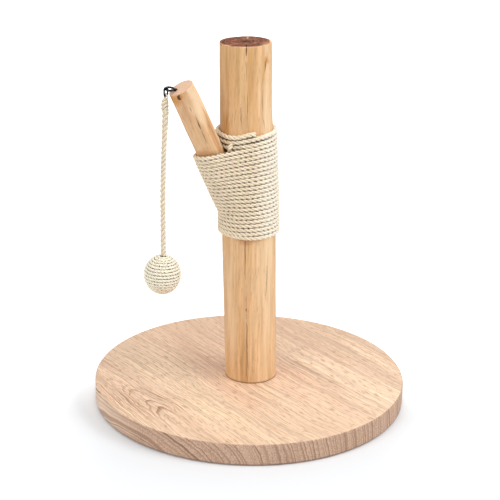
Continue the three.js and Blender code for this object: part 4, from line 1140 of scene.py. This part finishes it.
# ---- Nodes that keep their CAD mesh ----
for node_name, look in {
    **{f"floor_pad_{i}": felt_look for i in (1, 2, 3, 4)},
    "coach_screw_washer": zinc_look, "coach_screw": zinc_look, "foot_screw_1": zinc_look,
    "foot_screw_2": zinc_look, "branch_screw_1": zinc_look, "branch_screw_2": zinc_look,
    "ball_core": core_look,
}.items():
    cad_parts[node_name].data.materials.clear()
    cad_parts[node_name].data.materials.append(look)

# ---- Floor, light and background ----
deselect()
bpy.ops.mesh.primitive_plane_add(size=12, location=(0, 0, 0))
floor = named("floor")
floor_look, tree, shader = new_look("pale_floor")
shader.inputs["Base Color"].default_value = (0.82, 0.84, 0.86, 1)
shader.inputs["Roughness"].default_value = 1.0
shader.inputs["Specular IOR Level"].default_value = 0.0
shader.inputs["Emission Color"].default_value = (1, 1, 1, 1)
seen = put(tree, "ShaderNodeLightPath").outputs["Is Camera Ray"]
away = put(tree, "ShaderNodeVectorMath", {0: object_place(tree)}, operation="LENGTH").outputs["Value"]
behind = put(tree, "ShaderNodeSeparateXYZ", {0: object_place(tree)}).outputs[1]
glow = maths(tree, "ADD", steps_between(tree, away, 0.185, 0.28, 0.0, 0.05), steps_between(tree, away, 0.3, 1.6, 0.0, 0.6))
aside = maths(tree, "ABSOLUTE", put(tree, "ShaderNodeSeparateXYZ", {0: object_place(tree)}).outputs[0])
glow = maths(tree, "ADD", glow, steps_between(tree, aside, 0.12, 0.24, 0.0, 0.11))
glow = maths(tree, "ADD", glow, steps_between(tree, behind, -0.07, 0.09, 0.0, 0.5))
tree.links.new(maths(tree, "MULTIPLY", seen, glow), shader.inputs["Emission Strength"])
floor.data.materials.append(floor_look)

world = bpy.data.worlds.new("studio")
scene.world = world
world.use_nodes = True
tree = world.node_tree
paths = put(tree, "ShaderNodeLightPath").outputs
seen = maths(tree, "MAXIMUM", paths["Is Camera Ray"], maths(tree, "MAXIMUM", paths["Is Glossy Ray"], paths["Is Transmission Ray"]))
strength = maths(tree, "MULTIPLY_ADD", seen, 0.48)
strength.node.inputs[2].default_value = 0.52
tree.nodes["Background"].inputs["Color"].default_value = (1, 1, 1, 1)
tree.links.new(strength, tree.nodes["Background"].inputs["Strength"])


def softbox(name, place, aim, size, watts):
    light = bpy.data.lights.new(name, "AREA")
    light.shape = "SQUARE"
    light.size = size
    light.energy = watts
    lamp = bpy.data.objects.new(name, light)
    scene.collection.objects.link(lamp)
    lamp.location = place
    lamp.rotation_euler = (Vector(aim) - Vector(place)).to_track_quat("-Z", "Y").to_euler()


softbox("key_softbox", (1.7, -0.55, 1.5), (0, 0, 0.15), 1.1, 24)
softbox("top_softbox", (0.0, -0.3, 1.9), (0, 0, 0), 1.3, 10)
softbox("fill_softbox", (-1.4, -1.5, 1.0), (0, 0, 0.15), 1.2, 14)

scene.view_settings.view_transform = "Standard"
